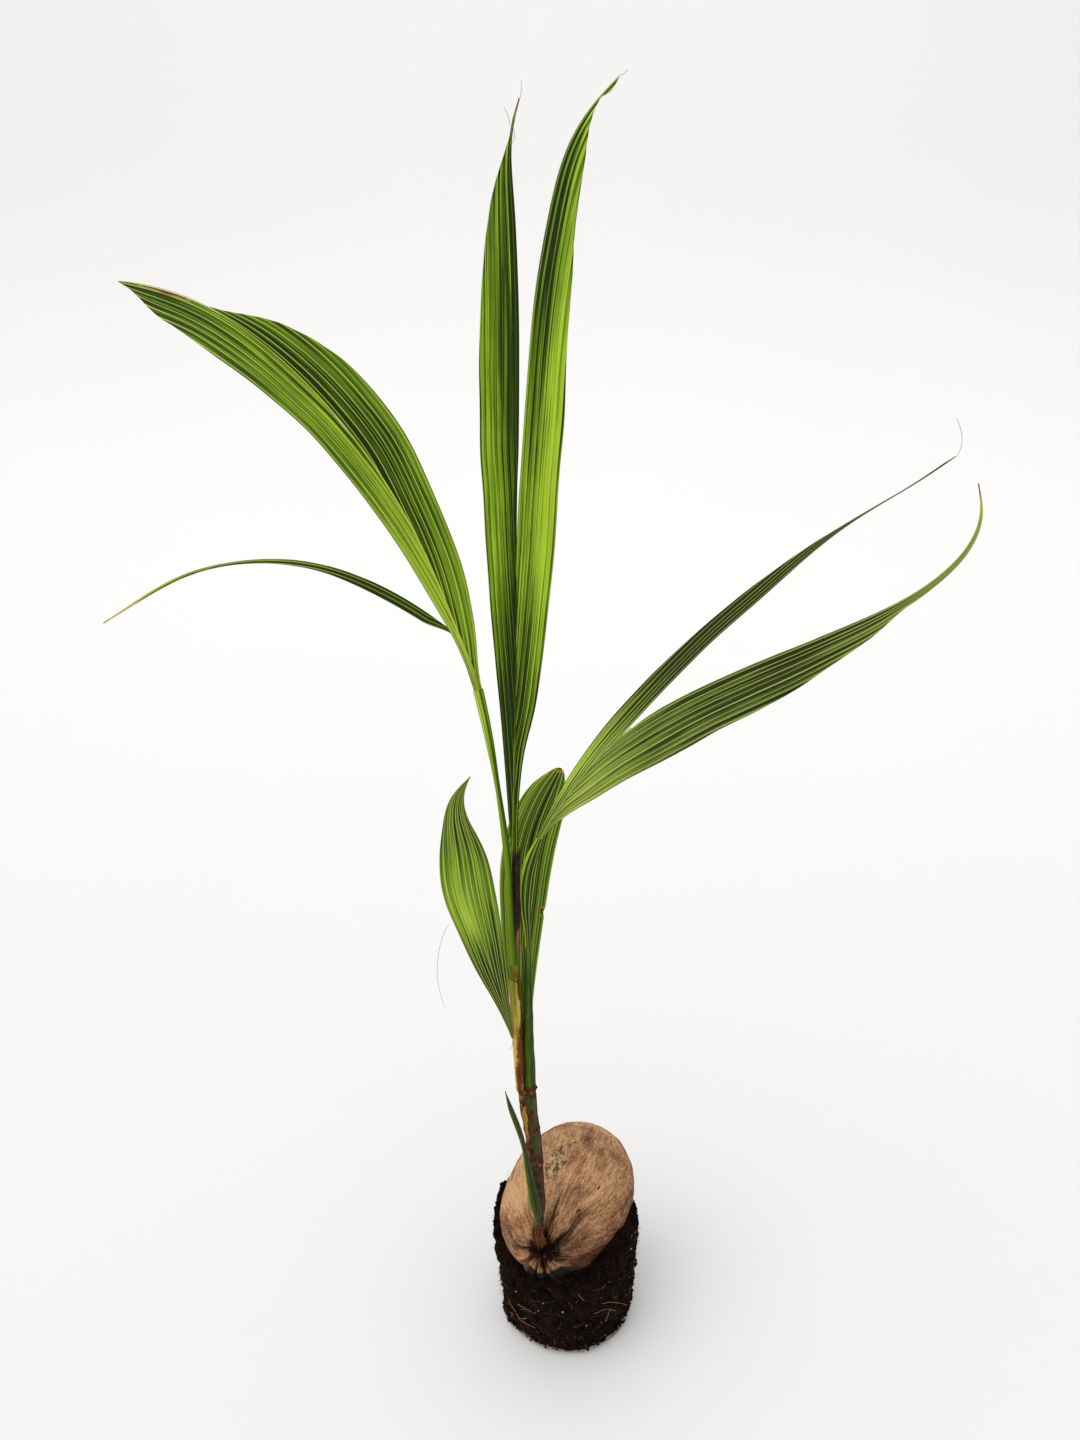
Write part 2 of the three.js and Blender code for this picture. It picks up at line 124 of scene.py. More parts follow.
# A lobe is counted across in veins at its widest place. `gather` is how far they draw together
# where it narrows, from 0 for all of them to 1 for none. A `whisker` is where the blade ends and
# the widths of the whisker after it, and `hair` the dry thread beyond. `along`, `across` and
# `spots` make the green lighter or darker, partly the leaf's own tone and partly painted light
# and shade: painted shade at bases, inner margins and the far half of the left frond, painted
# highlights and sheen, and a painted glow where light shines through. A spot is its place along
# and across, its size both ways and how much. `lines`, `groove_shading`, `pleat_shading` and
# `streaks` are how strong the pale veins, the painted shade beside them and in the valleys, the
# painted light on the ridges of the pleats with painted shade in their valleys, and the uneven
# streaks are. A `bite` is its place along, its depth and its length. `own` is the path from the
# end of the rachis, and `path` one of the lobe alone.
LOBES = dict(
    left_near_half=dict(
        side=-1, tilt=[-59, -54, -54, -30],
        width=[4.4, 6.2, 14.4, 22.5, 27.6, 32.3, 36.3, 40.5, 40.6, 35.7, 24.3, 1], veins=6,
        gather=0.6, cup=0.05, along=[0.35, 0.6, 0.24, 0.04, -0.1, -0.22],
        across=[0.12, 0, -0.02, 0.04], spots=[(0.93, 0, 0.05, 0.25, -0.3)], ragged=(0.86, 0.97),
        lines=1),
    # Painted shade: the far half darker at its inner edge, where it lies behind the near half
    left_far_half=dict(
        side=1, tilt=[34, 38, 40, 20], width=[4.4, 20.1, 31.1, 37, 45.7, 43.7, 26.5, 1],
        reach=0.833, veins=8, gather=0.6, cup=0.06, along=[0.15, 0.3, 0.04, -0.12, -0.16, -0.2],
        across=[-0.36, -0.25, 0.02, 0.12], spots=[(0.6, 0.1, 0.3, 0.2, -0.15)], lines=0.65,
        pleat_shading=0.4, groove_shading=0.4),
    left_strap=dict(
        path=(373, [-52, -61, -75, -93, -105, -122, -121], [6, 10], (-107, -60.5, 848)), side=-1,
        tilt=[-35], width=[9.1, 10.2, 6.4, 3, 3.4, 1.6], root=0.09, veins=2.5, gather=0.5,
        along=[-0.3, -0.35, -0.3, 0.1, 0.5], across=[0.05, -0.05], dry_edge=0.3, dull=0.15,
        lines=0.5, yellow_from=0.86),
    # Painted shade near the base and along the inner margin, and a strip of painted light further
    # out
    centre_left_lobe=dict(
        own=(330.2, [5.6, 0.8, 0.7, 0.5, -0.5, -2.8, -1.8, -8, 34.8], [5]), side=-1,
        tilt=[-20, -30, -32, -20],
        width=[2.3, 6.3, 10.5, 15.7, 21.1, 26.4, 30.4, 34.1, 38.9, 39.2, 36.5, 31.2, 20.3],
        whisker=(0.955, [2.4, 2, 1.2]), dry_from=0.97, hair=(14, [20, 0, -2], [0]), veins=7,
        gather=0.7, cup=0.05, lines=0.15, pleat_shading=0.1,
        along=[-0.95, -0.8, -0.5, -0.04, 0.1, 0.06, -0.08, -0.12, -0.16],
        across=[-0.75, -0.25, 0.08, 0.24, 0.02],
        spots=[(0.55, 0.7, 0.3, 0.07, 0.25), (0.62, 0.03, 0.4, 0.06, -0.4)]),
    # Painted glow where light shines through its outer half, painted highlights, and painted shade
    # near the base and the inner margin
    centre_right_lobe=dict(
        own=(359.3, [8.6, 3.1, 5.4, 4.1, 7.6, 12.8, 12.6, 35.6, 53.5], [2]), side=1,
        tilt=[-20, -26, -28, -20],
        width=[4.5, 4.4, 9.1, 20.3, 27.7, 33.4, 38.4, 38.6, 38.2, 36.1, 33, 25.7, 18.9],
        whisker=(0.971, [1.4, 4.2, 3.4, 1.2]), hair=(9, [75, 60, 30], [0]), veins=7, gather=0.7,
        cup=0.05, lines=0.35, pleat_shading=0.15,
        along=[-0.65, -0.5, -0.24, 0.14, 0.32, 0.2, -0.06, -0.2, 0],
        across=[0.25, -0.1, -0.02, 0.6, 0.0],
        spots=[(0.79, 0.15, 0.09, 0.4, -0.4), (0.63, 0.62, 0.03, 0.1, 0.3),
               (0.85, 0.5, 0.12, 0.06, 0.3), (0.85, 0.92, 0.12, 0.05, 0.4)]),
    right_lower_lobe=dict(
        own=(380, [44, 58.5, 59.6, 64, 62.2, 60.9, 46.7, 20.9, -40], [-10]), side=1,
        tilt=[-35, -30, -25, -15],
        width=[1, 9.6, 22.9, 32.6, 40.3, 43.2, 41, 39.5, 34.9, 26.3, 17.8],
        whisker=(0.768, [7, 5, 4, 2.6, 0.9]), yellow_from=0.93, dry_from=0.975, veins=9,
        gather=0.45, cup=0.05, dull=0.4, lines=0.5, pleat_shading=0.15, streaks=0.8, groove_shading=0.35,
        along=[-0.1, 0.3, -0.1, -0.28, -0.3, -0.15, 0.2, 0.45], across=[0.05, 0, 0.02, 0.1],
        spots=[(0.56, 0.35, 0.06, 0.3, -0.35), (0.68, 0.2, 0.09, 0.3, -0.2)], dry_edge=0.35),
    right_upper_lobe=dict(
        own=(353.8, [31.8, 41.3, 39.2, 47, 43, 45.3, 54, 58.2, 47.6], [-5]), side=-1,
        tilt=[45, 50, 40, 30], width=[4.4, 9.6, 15.4, 20.8, 21.7, 19.8, 16.8, 14.4, 8.7, 2.9, 1.2],
        whisker=(0.976, [1.6, 0.8]), hair=(32, [32, 8, -12, -24, -30], [0]), veins=6, gather=0.5,
        cup=0.05, dull=0.3, lines=0.35, groove_shading=0.6,
        along=[-0.05, 0.5, -0.2, -0.9, -1.1, -1.1, -0.9], across=[0, 0.05]),
    # A painted highlight in the middle of the blade, darker towards the base and the tip
    low_left=dict(
        path=(307, [-10, -16, -12, -13.6, -2, -12, 50], [-3, -6], (-60, -80, 433)), side=1,
        tilt=[-18], width=[3, 16.2, 33.3, 46.5, 54.8, 47.4, 21.5, 1], middle=True, veins=5.5,
        gather=0.15, keel=0.05, dull=0.12, lines=0.5, groove_shading=0.5, dry_edge=0.5,
        along=[-0.75, -0.65, -0.1, 0.14, -0.14, -0.36], across=[0.05, 0.1, 0.02, -0.08],
        spots=[(0.47, 0.3, 0.1, 0.2, 0.5), (0.3, 0.2, 0.1, 0.15, 0.1)]),
    low_right=dict(
        path=(292, [-4, -3, 2.3, 2.8, 8.8, 22.7, 28], [14, 8], (-49, -66, 419)), side=1,
        tilt=[-20], width=[12.2, 24.7, 35.7, 44.7, 51.9, 53.5, 45.3, 22], middle=True, veins=3.5,
        gather=0.3, keel=0.05, dull=0.15, lines=0.8, groove_shading=0.5, along=[0, 0, -0.1, -0.08, -0.05],
        across=[0.25, -0.05, -0.08, 0.1], dry_edge=0.4, blunt=0.9, dry_from=0.975,
        bite=(0.48, 0.06, 0.012)),
    # A painted sheen along its first margin, darker towards the other
    first=dict(
        path=(184, [-3.5, -9, -7.2, -16.5, -12.8], [-3], (-35, -90, 204)), side=1, tilt=[-25],
        width=[3.7, 15.5, 12, 8.7, 6.1, 7.5, 6.8, 1], middle=True, veins=2, gather=0.3, keel=0.12,
        dull=0.3, along=[-0.3, -0.45, -0.5, -0.5, -0.4], across=[0.55, -0.1, -0.2, -0.2],
        lines=0.1, pleat_shading=0.1, groove_shading=0.3),
)

# Fine things that stand off the leaves and the stem
THREADS = (
    (101, [-150, -166, -176, -188, -200], [0], (-119, -89, 571)),  # thread by the low left leaf
    (14, [0, -22, -30], [0], (-57, -22, 1259)),  # hair at a leaf tip
    (16, [110, 165, 190, 250], [0], (-57, -22, 1259)),  # second hair there
    (11, [-110, -150, -100], [-30], (-57, -84, 432)),  # torn strand on the stem
)
THREAD_RADIUS = 0.22

# Long roots that show on the soil, in degrees round from the front and millimetres up
LONG_ROOTS = (
    [(19, 75), (34, 70), (46, 57), (60, 34)], [(21, 62), (31, 62), (43, 48)], [(36, 60), (32, 40)],
    [(-48, 52), (-36, 57), (-22, 58)], [(-64, 40), (-51, 37), (-43, 31), (-29, 34)],
    [(-59, 27), (-45, 33), (-34, 45)], [(-46, 15), (-29, 13), (-14, 15), (4, 8)],
    [(5, 112), (7, 99), (12, 84)],
)

CAMERA_PLACE = (-0.0327, -1.0, 1.099)
CAMERA_PITCH = 19.5
CAMERA_LENS, CAMERA_SENSOR = 27.04, 36
# The floor bends up into a wall behind its edge
FLOOR_HALF, FLOOR_EDGE, FLOOR_BEND = 8, 2.5, 1.8
FLOOR_ROWS, FLOOR_COLUMNS = 80, 16
SUN_FROM, SUN_WIDTH = (-0.45, -0.35, 0.82), 60
WALL_LAMP_PLACE, WALL_LAMP_TARGET, WALL_LAMP_SIZE = (0, 1.7, 3.6), (0, 4.3, 1.6), 2.5


def tint(red, green, blue):
    """Linear colour of a screen colour from 0 to 255"""
    return tuple(((value / 255 + 0.055) / 1.055) ** 2.4 for value in (red, green, blue))


# Smooth random fields and the growth rule


# Large odd numbers that give neighbouring cells unlike values
SCATTER = np.array([374761393, 668265263, 1274126177])


def cloud(points, size, seed=0):
    """Smooth random value from -1 to 1 at each point, with features of about the given size"""
    cell = np.asarray(points, float) / size + seed * 17.31
    base = np.floor(cell).astype(np.int64)
    part = cell - base
    part = part * part * (3 - 2 * part)
    total = np.zeros(cell.shape[:-1])
    for corner in np.ndindex(2, 2, 2):
        spot = base + corner
        key = spot @ SCATTER
        key = (key ^ (key >> 13)) * 1103515245
        value = ((key ^ (key >> 16)) & 0xFFFF) / 32767.5 - 1
        weight = np.prod(np.where(np.array(corner, bool), part, 1 - part), axis=-1)
        total += value * weight
    return total


def layers(points, size, count, seed=0):
    """Clouds of ever finer features on top of each other"""
    return sum(cloud(points, size / 2**k, seed + k) / 2**k for k in range(count))


def crease(points, size, width, seed=0):
    """1 along thin winding lines and 0 between them"""
    return np.clip(1 - np.abs(cloud(points, size, seed)) / width, 0, 1) ** 2


def soft(value, low, high):
    """Smooth step from 0 at low to 1 at high"""
    share = np.clip((value - low) / (high - low), 0, 1)
    return share * share * (3 - 2 * share)


def near(value, middle, reach):
    """1 at a middle value, falling smoothly to 0 about twice the reach away"""
    return np.exp(-(((value - middle) / reach) ** 2))


def joined(*parts):
    """Values put side by side on a last axis, stretched to one shape"""
    return np.stack(np.broadcast_arrays(*parts), axis=-1)


def curve(p0, p1, v0, v1, f):
    """Place on a smooth curve between two ends with given slopes"""
    bend = (2 * p0 - 2 * p1 + v0 + v1) * f**3 + (3 * p1 - 3 * p0 - 2 * v0 - v1) * f**2
    return bend + v0 * f + p0


def station(values, share):
    """Smooth value at shares from 0 to 1 of the way along evenly spaced stations"""
    values, share = np.asarray(values, float), np.asarray(share, float)
    if len(values) == 1:
        return np.full(share.shape, values[0])
    last = len(values) - 1
    spot = np.clip(share, 0, 1) * last
    at = np.minimum(spot.astype(int), last - 1)
    p0, p1, p2, p3 = (values[np.clip(at + step, 0, last)] for step in (-1, 0, 1, 2))
    return curve(p1, p2, (p2 - p0) / 2, (p3 - p1) / 2, spot - at)


def direction(lean, away):
    """Unit vectors that lean right and back by the given degrees from upright"""
    lean, away = np.radians(lean), np.radians(away)
    level = np.cos(away)
    return np.stack([np.sin(lean) * level, np.sin(away), np.cos(lean) * level], axis=-1)


def unit(vectors):
    return vectors / np.linalg.norm(vectors, axis=-1, keepdims=True)


class Path:
    """A growth path, with its direction and its right side at each place"""

    def __init__(self, start, length, lean, away):
        share = np.linspace(0, 1, PATH_STEPS + 1)
        middle = share[:-1] + 0.5 / PATH_STEPS
        steps = direction(station(lean, middle), station(away, middle))
        steps *= length * MM / PATH_STEPS
        start = np.asarray(start, float)
        self.place = np.vstack([start, start + np.cumsum(steps, axis=0)])
        self.along = direction(station(lean, share), station(away, share))
        turn = np.radians(station(lean, share))
        self.right = np.stack([np.cos(turn), 0 * turn, -np.sin(turn)], axis=-1)
        self.distance = share * length * MM

    @property
    def end(self):
        return self.place[-1]

    @property
    def length(self):
        return self.distance[-1]

    def then(self, own):
        """This path, followed by one that leaves its end if it is given"""
        if own is None:
            return self
        rest = Path(self.end, *own)
        both = Path.__new__(Path)
        for key in ("place", "along", "right"):
            setattr(both, key, np.vstack([getattr(self, key), getattr(rest, key)[1:]]))
        both.distance = np.concatenate([self.distance, rest.distance[1:] + self.length])
        return both

    def at(self, distance):
        """Places, directions, right sides and backs at distances along the path"""
        after = np.clip(np.searchsorted(self.distance, distance), 1, len(self.distance) - 1)
        before = after - 1
        span = (self.distance[after] - self.distance[before])[:, None]
        f = (distance - self.distance[before])[:, None] / span
        place = curve(self.place[before], self.place[after], self.along[before] * span,
                      self.along[after] * span, f)
        along, right = (unit(side[before] * (1 - f) + side[after] * f)
                        for side in (self.along, self.right))
        return place, along, right, np.cross(along, right)


def eased(values, reach=12):
    """Values along a path, each the average of some rows each way, with the ends unchanged"""
    before = 2 * values[:1] - values[reach:0:-1]
    after = 2 * values[-1:] - values[-2: -reach - 2: -1]
    total = np.cumsum(np.concatenate([0 * values[:1], before, values, after]), axis=0)
    return (total[2 * reach + 1:] - total[: -2 * reach - 1]) / (2 * reach + 1)


def grown(table, start=None):
    """Growth path of a table, from its own start in millimetres or one in metres"""
    length, lean, away, *own = table
    return Path(np.array(own[0]) * MM if start is None else start, length, lean, away)


# Meshes


class Skin:
    """Grids of points gathered for one joined mesh, with three sets of surface coordinates"""

    def __init__(self):
        self.points, self.quads, self.finish = [], [], []
        self.layers = {"surface": [], "marks": [], "spread": []}
        self.count = 0

    def grid(self, points, surface, marks=(0, 0), finish=0, spread=(0, 0)):
        rows, columns = points.shape[:2]
        index = self.count + np.arange(rows * columns).reshape(rows, columns)
        quads = np.stack([index[:-1, :-1], index[:-1, 1:], index[1:, 1:], index[1:, :-1]], -1)
        self.points.append(points.reshape(-1, 3))
        self.quads.append(quads.reshape(-1, 4))
        for layer, values in zip(self.layers.values(), (surface, marks, spread)):
            layer.append(np.broadcast_to(values, (rows, columns, 2)).reshape(-1, 2))
        self.finish.append(np.full((rows - 1) * (columns - 1), finish))
        self.count += rows * columns

    def mesh(self, name, finishes, sharp):
        """Mesh with points that meet welded and collapsed faces left out"""
        points, quads = np.concatenate(self.points), np.concatenate(self.quads)
        kept, where = np.unique(np.round(points, 7), axis=0, return_inverse=True)
        corners = where.reshape(-1)[quads]
        keep = corners != np.roll(corners, 1, axis=1)
        unfolded = (corners[:, 0] != corners[:, 2]) & (corners[:, 1] != corners[:, 3])
        usable = unfolded & (keep.sum(axis=1) >= 3)
        keep &= usable[:, None]
        sizes = keep.sum(axis=1)[usable]
        mesh = bpy.data.meshes.new(name)
        mesh.vertices.add(len(kept))
        mesh.vertices.foreach_set("co", kept.astype(np.float32).ravel())
        mesh.loops.add(int(sizes.sum()))
        mesh.loops.foreach_set("vertex_index", corners[keep].astype(np.int32))
        mesh.polygons.add(len(sizes))
        starts = np.concatenate([[0], np.cumsum(sizes)[:-1]])
        mesh.polygons.foreach_set("loop_start", starts.astype(np.int32))
        finish = np.concatenate(self.finish)[usable]
        mesh.polygons.foreach_set("material_index", finish.astype(np.int32))
        mesh.polygons.foreach_set("use_smooth", np.ones(len(sizes), bool))
        mesh.update(calc_edges=True)
        for layer, values in self.layers.items():
            corner_values = np.concatenate(values)[quads[keep]].astype(np.float32)
            mesh.uv_layers.new(name=layer).data.foreach_set("uv", corner_values.ravel())
        mesh.validate()
        mesh.set_sharp_from_angle(angle=math.radians(sharp))
        for one in finishes:
            mesh.materials.append(one)
        return mesh

    def piece(self, name, finishes, slot, *nodes, sharp=60):
        """Object of the gathered grids, which stands for the named nodes"""
        mesh = self.mesh(name, finishes, sharp)
        piece = bpy.data.objects.new(name, mesh)
        bpy.context.scene.collection.objects.link(piece)
        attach(piece, "root")
        if nodes:
            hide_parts(*nodes)
        return piece


def tube(skin, path, wide, deep, rings, sides, relief=None, marks=None, finish=0,
         lines=1, depth=1.0):
    """Closed tube along a path, counted from its back round by the left.

    Relief, which is times the depth, and marks are worked out from the bare surface, the turn
    and the share of the length. The first surface coordinate counts the lines round it.
    """
    share = np.linspace(0, 1, rings + 1)
    place, _, right, back = path.at(share * path.length)
    turn = np.linspace(0, 1, sides + 1)[None]
    angle = 2 * np.pi * turn[..., None]
    wide = (station(wide, share) * MM)[:, None, None]
    deep = (station(deep, share) * MM)[:, None, None]
    out = back[:, None] * np.cos(angle) * deep - right[:, None] * np.sin(angle) * wide
    points = place[:, None] + out
    turn, ring = np.broadcast_arrays(turn, share[:, None])
    surface = joined(turn * lines, ring * path.length)
    spacing = np.broadcast_to(math.pi * (wide + deep)[..., 0] / lines, turn.shape)
    if relief is not None:
        height = depth * relief(points, turn, ring)
        height[:, -1] = height[:, 0]
        points = points + unit(out) * height[..., None]
    marked = np.zeros((*points.shape[:2], 2)) if marks is None else marks(points, turn, ring)
    middle = points[:, :-1].mean(axis=1, keepdims=True)
    ends = [np.broadcast_to(middle[i], (1, sides + 1, 3)) for i in (0, -1)]
    points = np.concatenate([ends[0], points, ends[1]])
    surface, marked, spread = (np.concatenate([one[:1], one, one[-1:]])[:, ::-1]
                               for one in (surface, marked, joined(spacing, turn)))
    skin.grid(points[:, ::-1], surface, marked, finish, spread)


def string(skin, points, radius, sides, finish=0, thin=4):
    """Fine tube through a row of points, with pointed ends"""
    points = np.asarray(points, float)
    along = unit(np.gradient(points, axis=0))
    aside = unit(np.cross(along, np.array([0.31, 0.95, 0.11])))
    other = np.cross(along, aside)
    angle = np.linspace(0, 2 * np.pi, sides + 1)[None, :, None]
    share = np.linspace(0, 1, len(points))
    size = (radius * np.clip(np.sin(np.pi * share) * thin, 0, 1))[:, None, None]
    rings = points[:, None] + size * (aside[:, None] * np.cos(angle)
                                      + other[:, None] * np.sin(angle))
    surface = joined(angle[..., 0] / (2 * np.pi), share[:, None])
    skin.grid(rings, surface, finish=finish)


def clods(skin, places, sizes, chance, finish=0):
    """Rough little lumps, each with its own shape"""
    polar = np.linspace(0, np.pi, 6)[:, None]
    turn = np.linspace(0, 2 * np.pi, 9)[None]
    ball = joined(np.sin(polar) * np.cos(turn), np.sin(polar) * np.sin(turn), np.cos(polar))
    for place, size in zip(places, sizes):
        lump = ball * chance.uniform(0.55, 1.1, (*ball.shape[:2], 1))
        lump = lump * chance.uniform(0.7, 1.3, 3)
        lump[:, -1] = lump[:, 0]
        lump[[0, -1]] = lump[[0, -1], :1]
        skin.grid(place + lump * size, np.zeros(2), finish=finish)


def lobe_width(lobe, share):
    """Width of a lobe in metres at shares of its length, with its whisker or its blunt end"""
    stop, whisker = lobe.get("whisker", (1, [0]))
    widths = lobe["width"] + whisker[:1] if stop < 1 else lobe["width"]
    wide = np.maximum(station(widths, share / stop), 0.6)
    if stop < 1:
        wide = np.where(share < stop, wide, station(whisker, (share - stop) / (1 - stop)))
    if "root" in lobe:
        wide = wide * (0.3 + 0.7 * soft(share, 0, lobe["root"]))
    start = lobe.get("blunt", 1)
    if start < 1:
        wide = wide * np.sqrt(1 - np.clip((share - start) / (1 - start), 0, 0.999) ** 2)
    return wide * MM


def lobe_marks(lobe, part, share, wide):
    """Dry places of a lobe, yellow at a half and brown at one, and tone with painted shading"""
    tone_and_shade = station(lobe.get("along", [0]), share) + station(lobe.get("across", [0]), part)
    for at, beside, length, width, shift in lobe.get("spots", ()):
        tone_and_shade = tone_and_shade + shift * near(share, at, length) * near(part, beside, width)
    ragged = cloud(joined(share * 40, part * 3, 0.0), 1.0, 5)
    dry = 0 * tone_and_shade
    for key in ("yellow_from", "dry_from"):
        start = lobe.get(key, 2)
        dry = dry + 0.5 * soft(share + 0.008 * ragged, start, start + 0.03)
    if "yellow_from" not in lobe:
        dry = dry * 2
    edge = np.minimum(part, 1 - part) * wide
    patchy = soft(ragged, -0.3, 0.5) * lobe.get("dry_edge", 0.15)
    dry = dry + patchy * (1 - soft(edge, 0.0002, 0.0011))
    if "ragged" in lobe:
        start, stop = lobe["ragged"]
        band = soft(share, start, start + 0.02) * (1 - soft(share, stop - 0.02, stop))
        dry = dry + band * (1 - soft(part + 0.05 * ragged, 0.02, 0.14)) * 0.9
    if "bite" in lobe:
        at, _, length = lobe["bite"]
        dry = dry + 1.4 * near(share, at, length * 1.1) * soft(part, 0.88, 0.93)
    return joined(np.clip(dry, 0, 1), tone_and_shade)


def blade(skin, path, lobe, leaf, rows, lines_per_vein=8):
    """Pleated blade with a front and a back face, and its grid lines on its veins"""
    middle = lobe.get("middle", False)
    veins = lobe["veins"]
    length = path.length * lobe.get("reach", 1)
    share = np.linspace(0, 1, rows + 1)
    place, along, right, _ = path.at(share * length)
    place = eased(eased(place))
    along, right = unit(eased(eased(along))), unit(eased(eased(right)))
    back = np.cross(along, right)
    turn = np.radians(station(lobe["tilt"], share))[:, None]
    across = lobe["side"] * np.cos(turn) * right + np.sin(turn) * back
    front = np.cross(across, along)
    wide = lobe_width(lobe, share)[:, None]
    columns = int(round(veins * lines_per_vein)) * (2 if middle else 1)
    lines = np.linspace(-1 if middle else 0, 1, columns + 1)[None]
    spread = np.minimum(1, wide / wide.max()) ** lobe["gather"]
    rising = (np.arange(rows + 1) < wide.argmax())[:, None]
    size = np.abs(lines)
    part = np.clip(np.where(rising, 1 - (1 - size) / spread, size / spread), 0, 1)
    vein = np.where(rising, 1 - (1 - part) * spread, part * spread) * veins
    seed = 7.3 * veins + 31 * lobe["tilt"][0]
    uneven = cloud(joined(vein * 0.8, seed, 0.0), 1.0)
    placed = part + 0.3 / veins * uneven * np.sin(np.pi * part)
    half = np.sign(lines) * placed
    offset = (0.5 * half if middle else placed) * wide
    if "bite" in lobe:
        at, depth, length = lobe["bite"]
        jagged = near(share[:, None], at, length) * (1 + 0.3 * cloud(place[:, None] * 900, 1.0))
        offset = offset * (1 - depth * jagged * soft(half, 0.6, 1))
    spacing = wide / spread / veins * (0.5 if middle else 1)
    fold = 1 - 4 * np.abs(vein % 1 - 0.5)
    height = fold * spacing * leaf.pleat_rise / 2
    height = height + lobe.get("cup", 0) * wide * 4 * (part - part**2)
    height = height - lobe.get("keel", 0) * wide * (1 - part) * (1 if middle else 0)
    sway = joined(share[:, None] * length, half * 0.02, 0.0)
    height = height + cloud(sway, 0.045, 3) * part**2 * np.minimum(wide * 0.05, 0.0016)
    thick = leaf.thickness / 2 * (1 - (half if middle else 2 * part - 1) ** 8)
    thick = thick * np.minimum(1, wide / 0.004)
    thick[[0, -1]] = 0
    flat = place[:, None] + across[:, None] * offset[..., None]
    top = flat + front[:, None] * (height + thick)[..., None]
    under = flat + front[:, None] * (height - thick)[..., None]
    surface = joined(vein, share[:, None] * length)
    over = (np.sign(lines) * part + 1) / 2 if middle else part
    marks = lobe_marks(lobe, over, np.broadcast_to(share[:, None], over.shape), wide)
    spread = joined(spacing, over)
    skin.grid(top, surface, marks, 0, spread)
    skin.grid(under[:, ::-1], surface[:, ::-1], marks[:, ::-1], 0, spread[:, ::-1])


# Node materials


class Value:
    """A socket that takes part in sums, by adding Math nodes"""

    def __init__(self, finish, socket):
        self.finish, self.socket = finish, socket

    def math(self, operation, *others):
        inputs = dict(enumerate((self, *others)))
        return self.finish.node("Math", {"operation": operation}, inputs)

    def __add__(self, other):
        return self.math("ADD", other)

    __radd__ = __add__

    def __mul__(self, other):
        return self.math("MULTIPLY", other)

    __rmul__ = __mul__

    def __sub__(self, other):
        return self.math("SUBTRACT", other)

    def __rsub__(self, other):
        return self.math("MULTIPLY_ADD", -1.0, other)

    def __truediv__(self, other):
        return self.math("DIVIDE", other)

    def __pow__(self, other):
        return self.math("POWER", other)

    def __abs__(self):
        return self.math("ABSOLUTE")

    def fraction(self):
        return self.math("FRACT")

    def soft(self, low, high, to_low=0.0, to_high=1.0):
        """Smooth step between two values"""
        return self.finish.node(
            "MapRange", {"interpolation_type": "SMOOTHSTEP"},
            {"Value": self, "From Min": low, "From Max": high, "To Min": to_low,
             "To Max": to_high})


def scaled(colour, share):
    """Darker colour"""
    return tuple(share * one for one in colour)


def halfway(first, second):
    """Colour between two colours"""
    return tuple(0.5 * (one + other) for one, other in zip(first, second))


class Finish:
    """A material made of nodes"""

    def __init__(self, name):
        self.material = bpy.data.materials.new(name)
        self.material.use_nodes = True
        self.tree = self.material.node_tree
        self.tree.nodes.clear()

    def node(self, kind, settings=None, inputs=None, output=0):
        """Adds a node of a type with its settings and inputs, and gives one of its outputs"""
        node = self.tree.nodes.new("ShaderNode" + kind)
        for key, value in (settings or {}).items():
            setattr(node, key, value)
        for key, value in (inputs or {}).items():
            socket = node.inputs[key]
            if isinstance(value, Value):
                self.tree.links.new(value.socket, socket)
            else:
                socket.default_value = (*value, 1) if socket.type == "RGBA" else value
        return Value(self, node.outputs[output]) if node.outputs else None

    def coats(self, colour, *coats):
        """Colour with others laid over it, each by its share"""
        for share, other in coats:
            colour = self.node("Mix", {"data_type": "RGBA"}, {0: share, 6: colour, 7: other}, 2)
        return colour

    def parts(self, vector):
        """The three parts of a vector"""
        apart = self.node("SeparateXYZ", inputs={"Vector": vector})
        return [Value(self, one) for one in apart.socket.node.outputs]

    def coordinates(self, layer):
        """Both coordinates of a surface layer"""
        return self.parts(self.node("UVMap", {"uv_map": layer}))[:2]

    def vector(self, x=0.0, y=0.0, z=0.0):
        return self.node("CombineXYZ", inputs={"X": x, "Y": y, "Z": z})

    def around(self, turn, along):
        """Place on a tube of radius 1, so that noise meets itself where the turn ends"""
        angle = turn * (2 * math.pi)
        return self.vector(angle.math("COSINE"), angle.math("SINE"), along)

    def place(self, stretch=None):
        """The object's own coordinates, stretched if asked"""
        place = self.node("TexCoord", output="Object")
        if stretch is None:
            return place
        return self.node("VectorMath", {"operation": "MULTIPLY"}, {0: place, 1: stretch})

    def noise(self, scale, detail=2.0, roughness=0.5, vector=None, stretch=None):
        """Noise over a vector, or over the object's own coordinates"""
        return self.node("TexNoise", {"noise_dimensions": "3D"},
                         {"Vector": vector or self.place(stretch), "Scale": scale,
                          "Detail": detail, "Roughness": roughness})

    def shade(self, colour, roughness, gloss, bump=None, glow=None, glow_share=0.0):
        """Ends the material: a surface with its bump, and light shining through it if asked

        The bump is its height, its strength and its distance.
        """
        inputs = {"Base Color": colour, "Roughness": roughness, "Specular IOR Level": gloss}
        if bump:
            keys = ("Height", "Strength", "Distance")
            inputs["Normal"] = self.node("Bump", inputs=dict(zip(keys, bump)))
        surface = self.node("BsdfPrincipled", inputs=inputs)
        if glow:
            through = self.node("BsdfTranslucent", inputs={"Color": glow})
            surface = self.node("MixShader", inputs={0: glow_share, 1: surface, 2: through})
        self.node("OutputMaterial", inputs={"Surface": surface})
        return self.material


def duller(colour, share):
    """Colour turned towards an olive grey of its own brightness"""
    light = sum(part * one for part, one in zip((0.3, 0.6, 0.1), colour))
    return tuple(one * (1 - share) + share * light * grey
                 for one, grey in zip(colour, (1.0, 0.98, 0.36)))


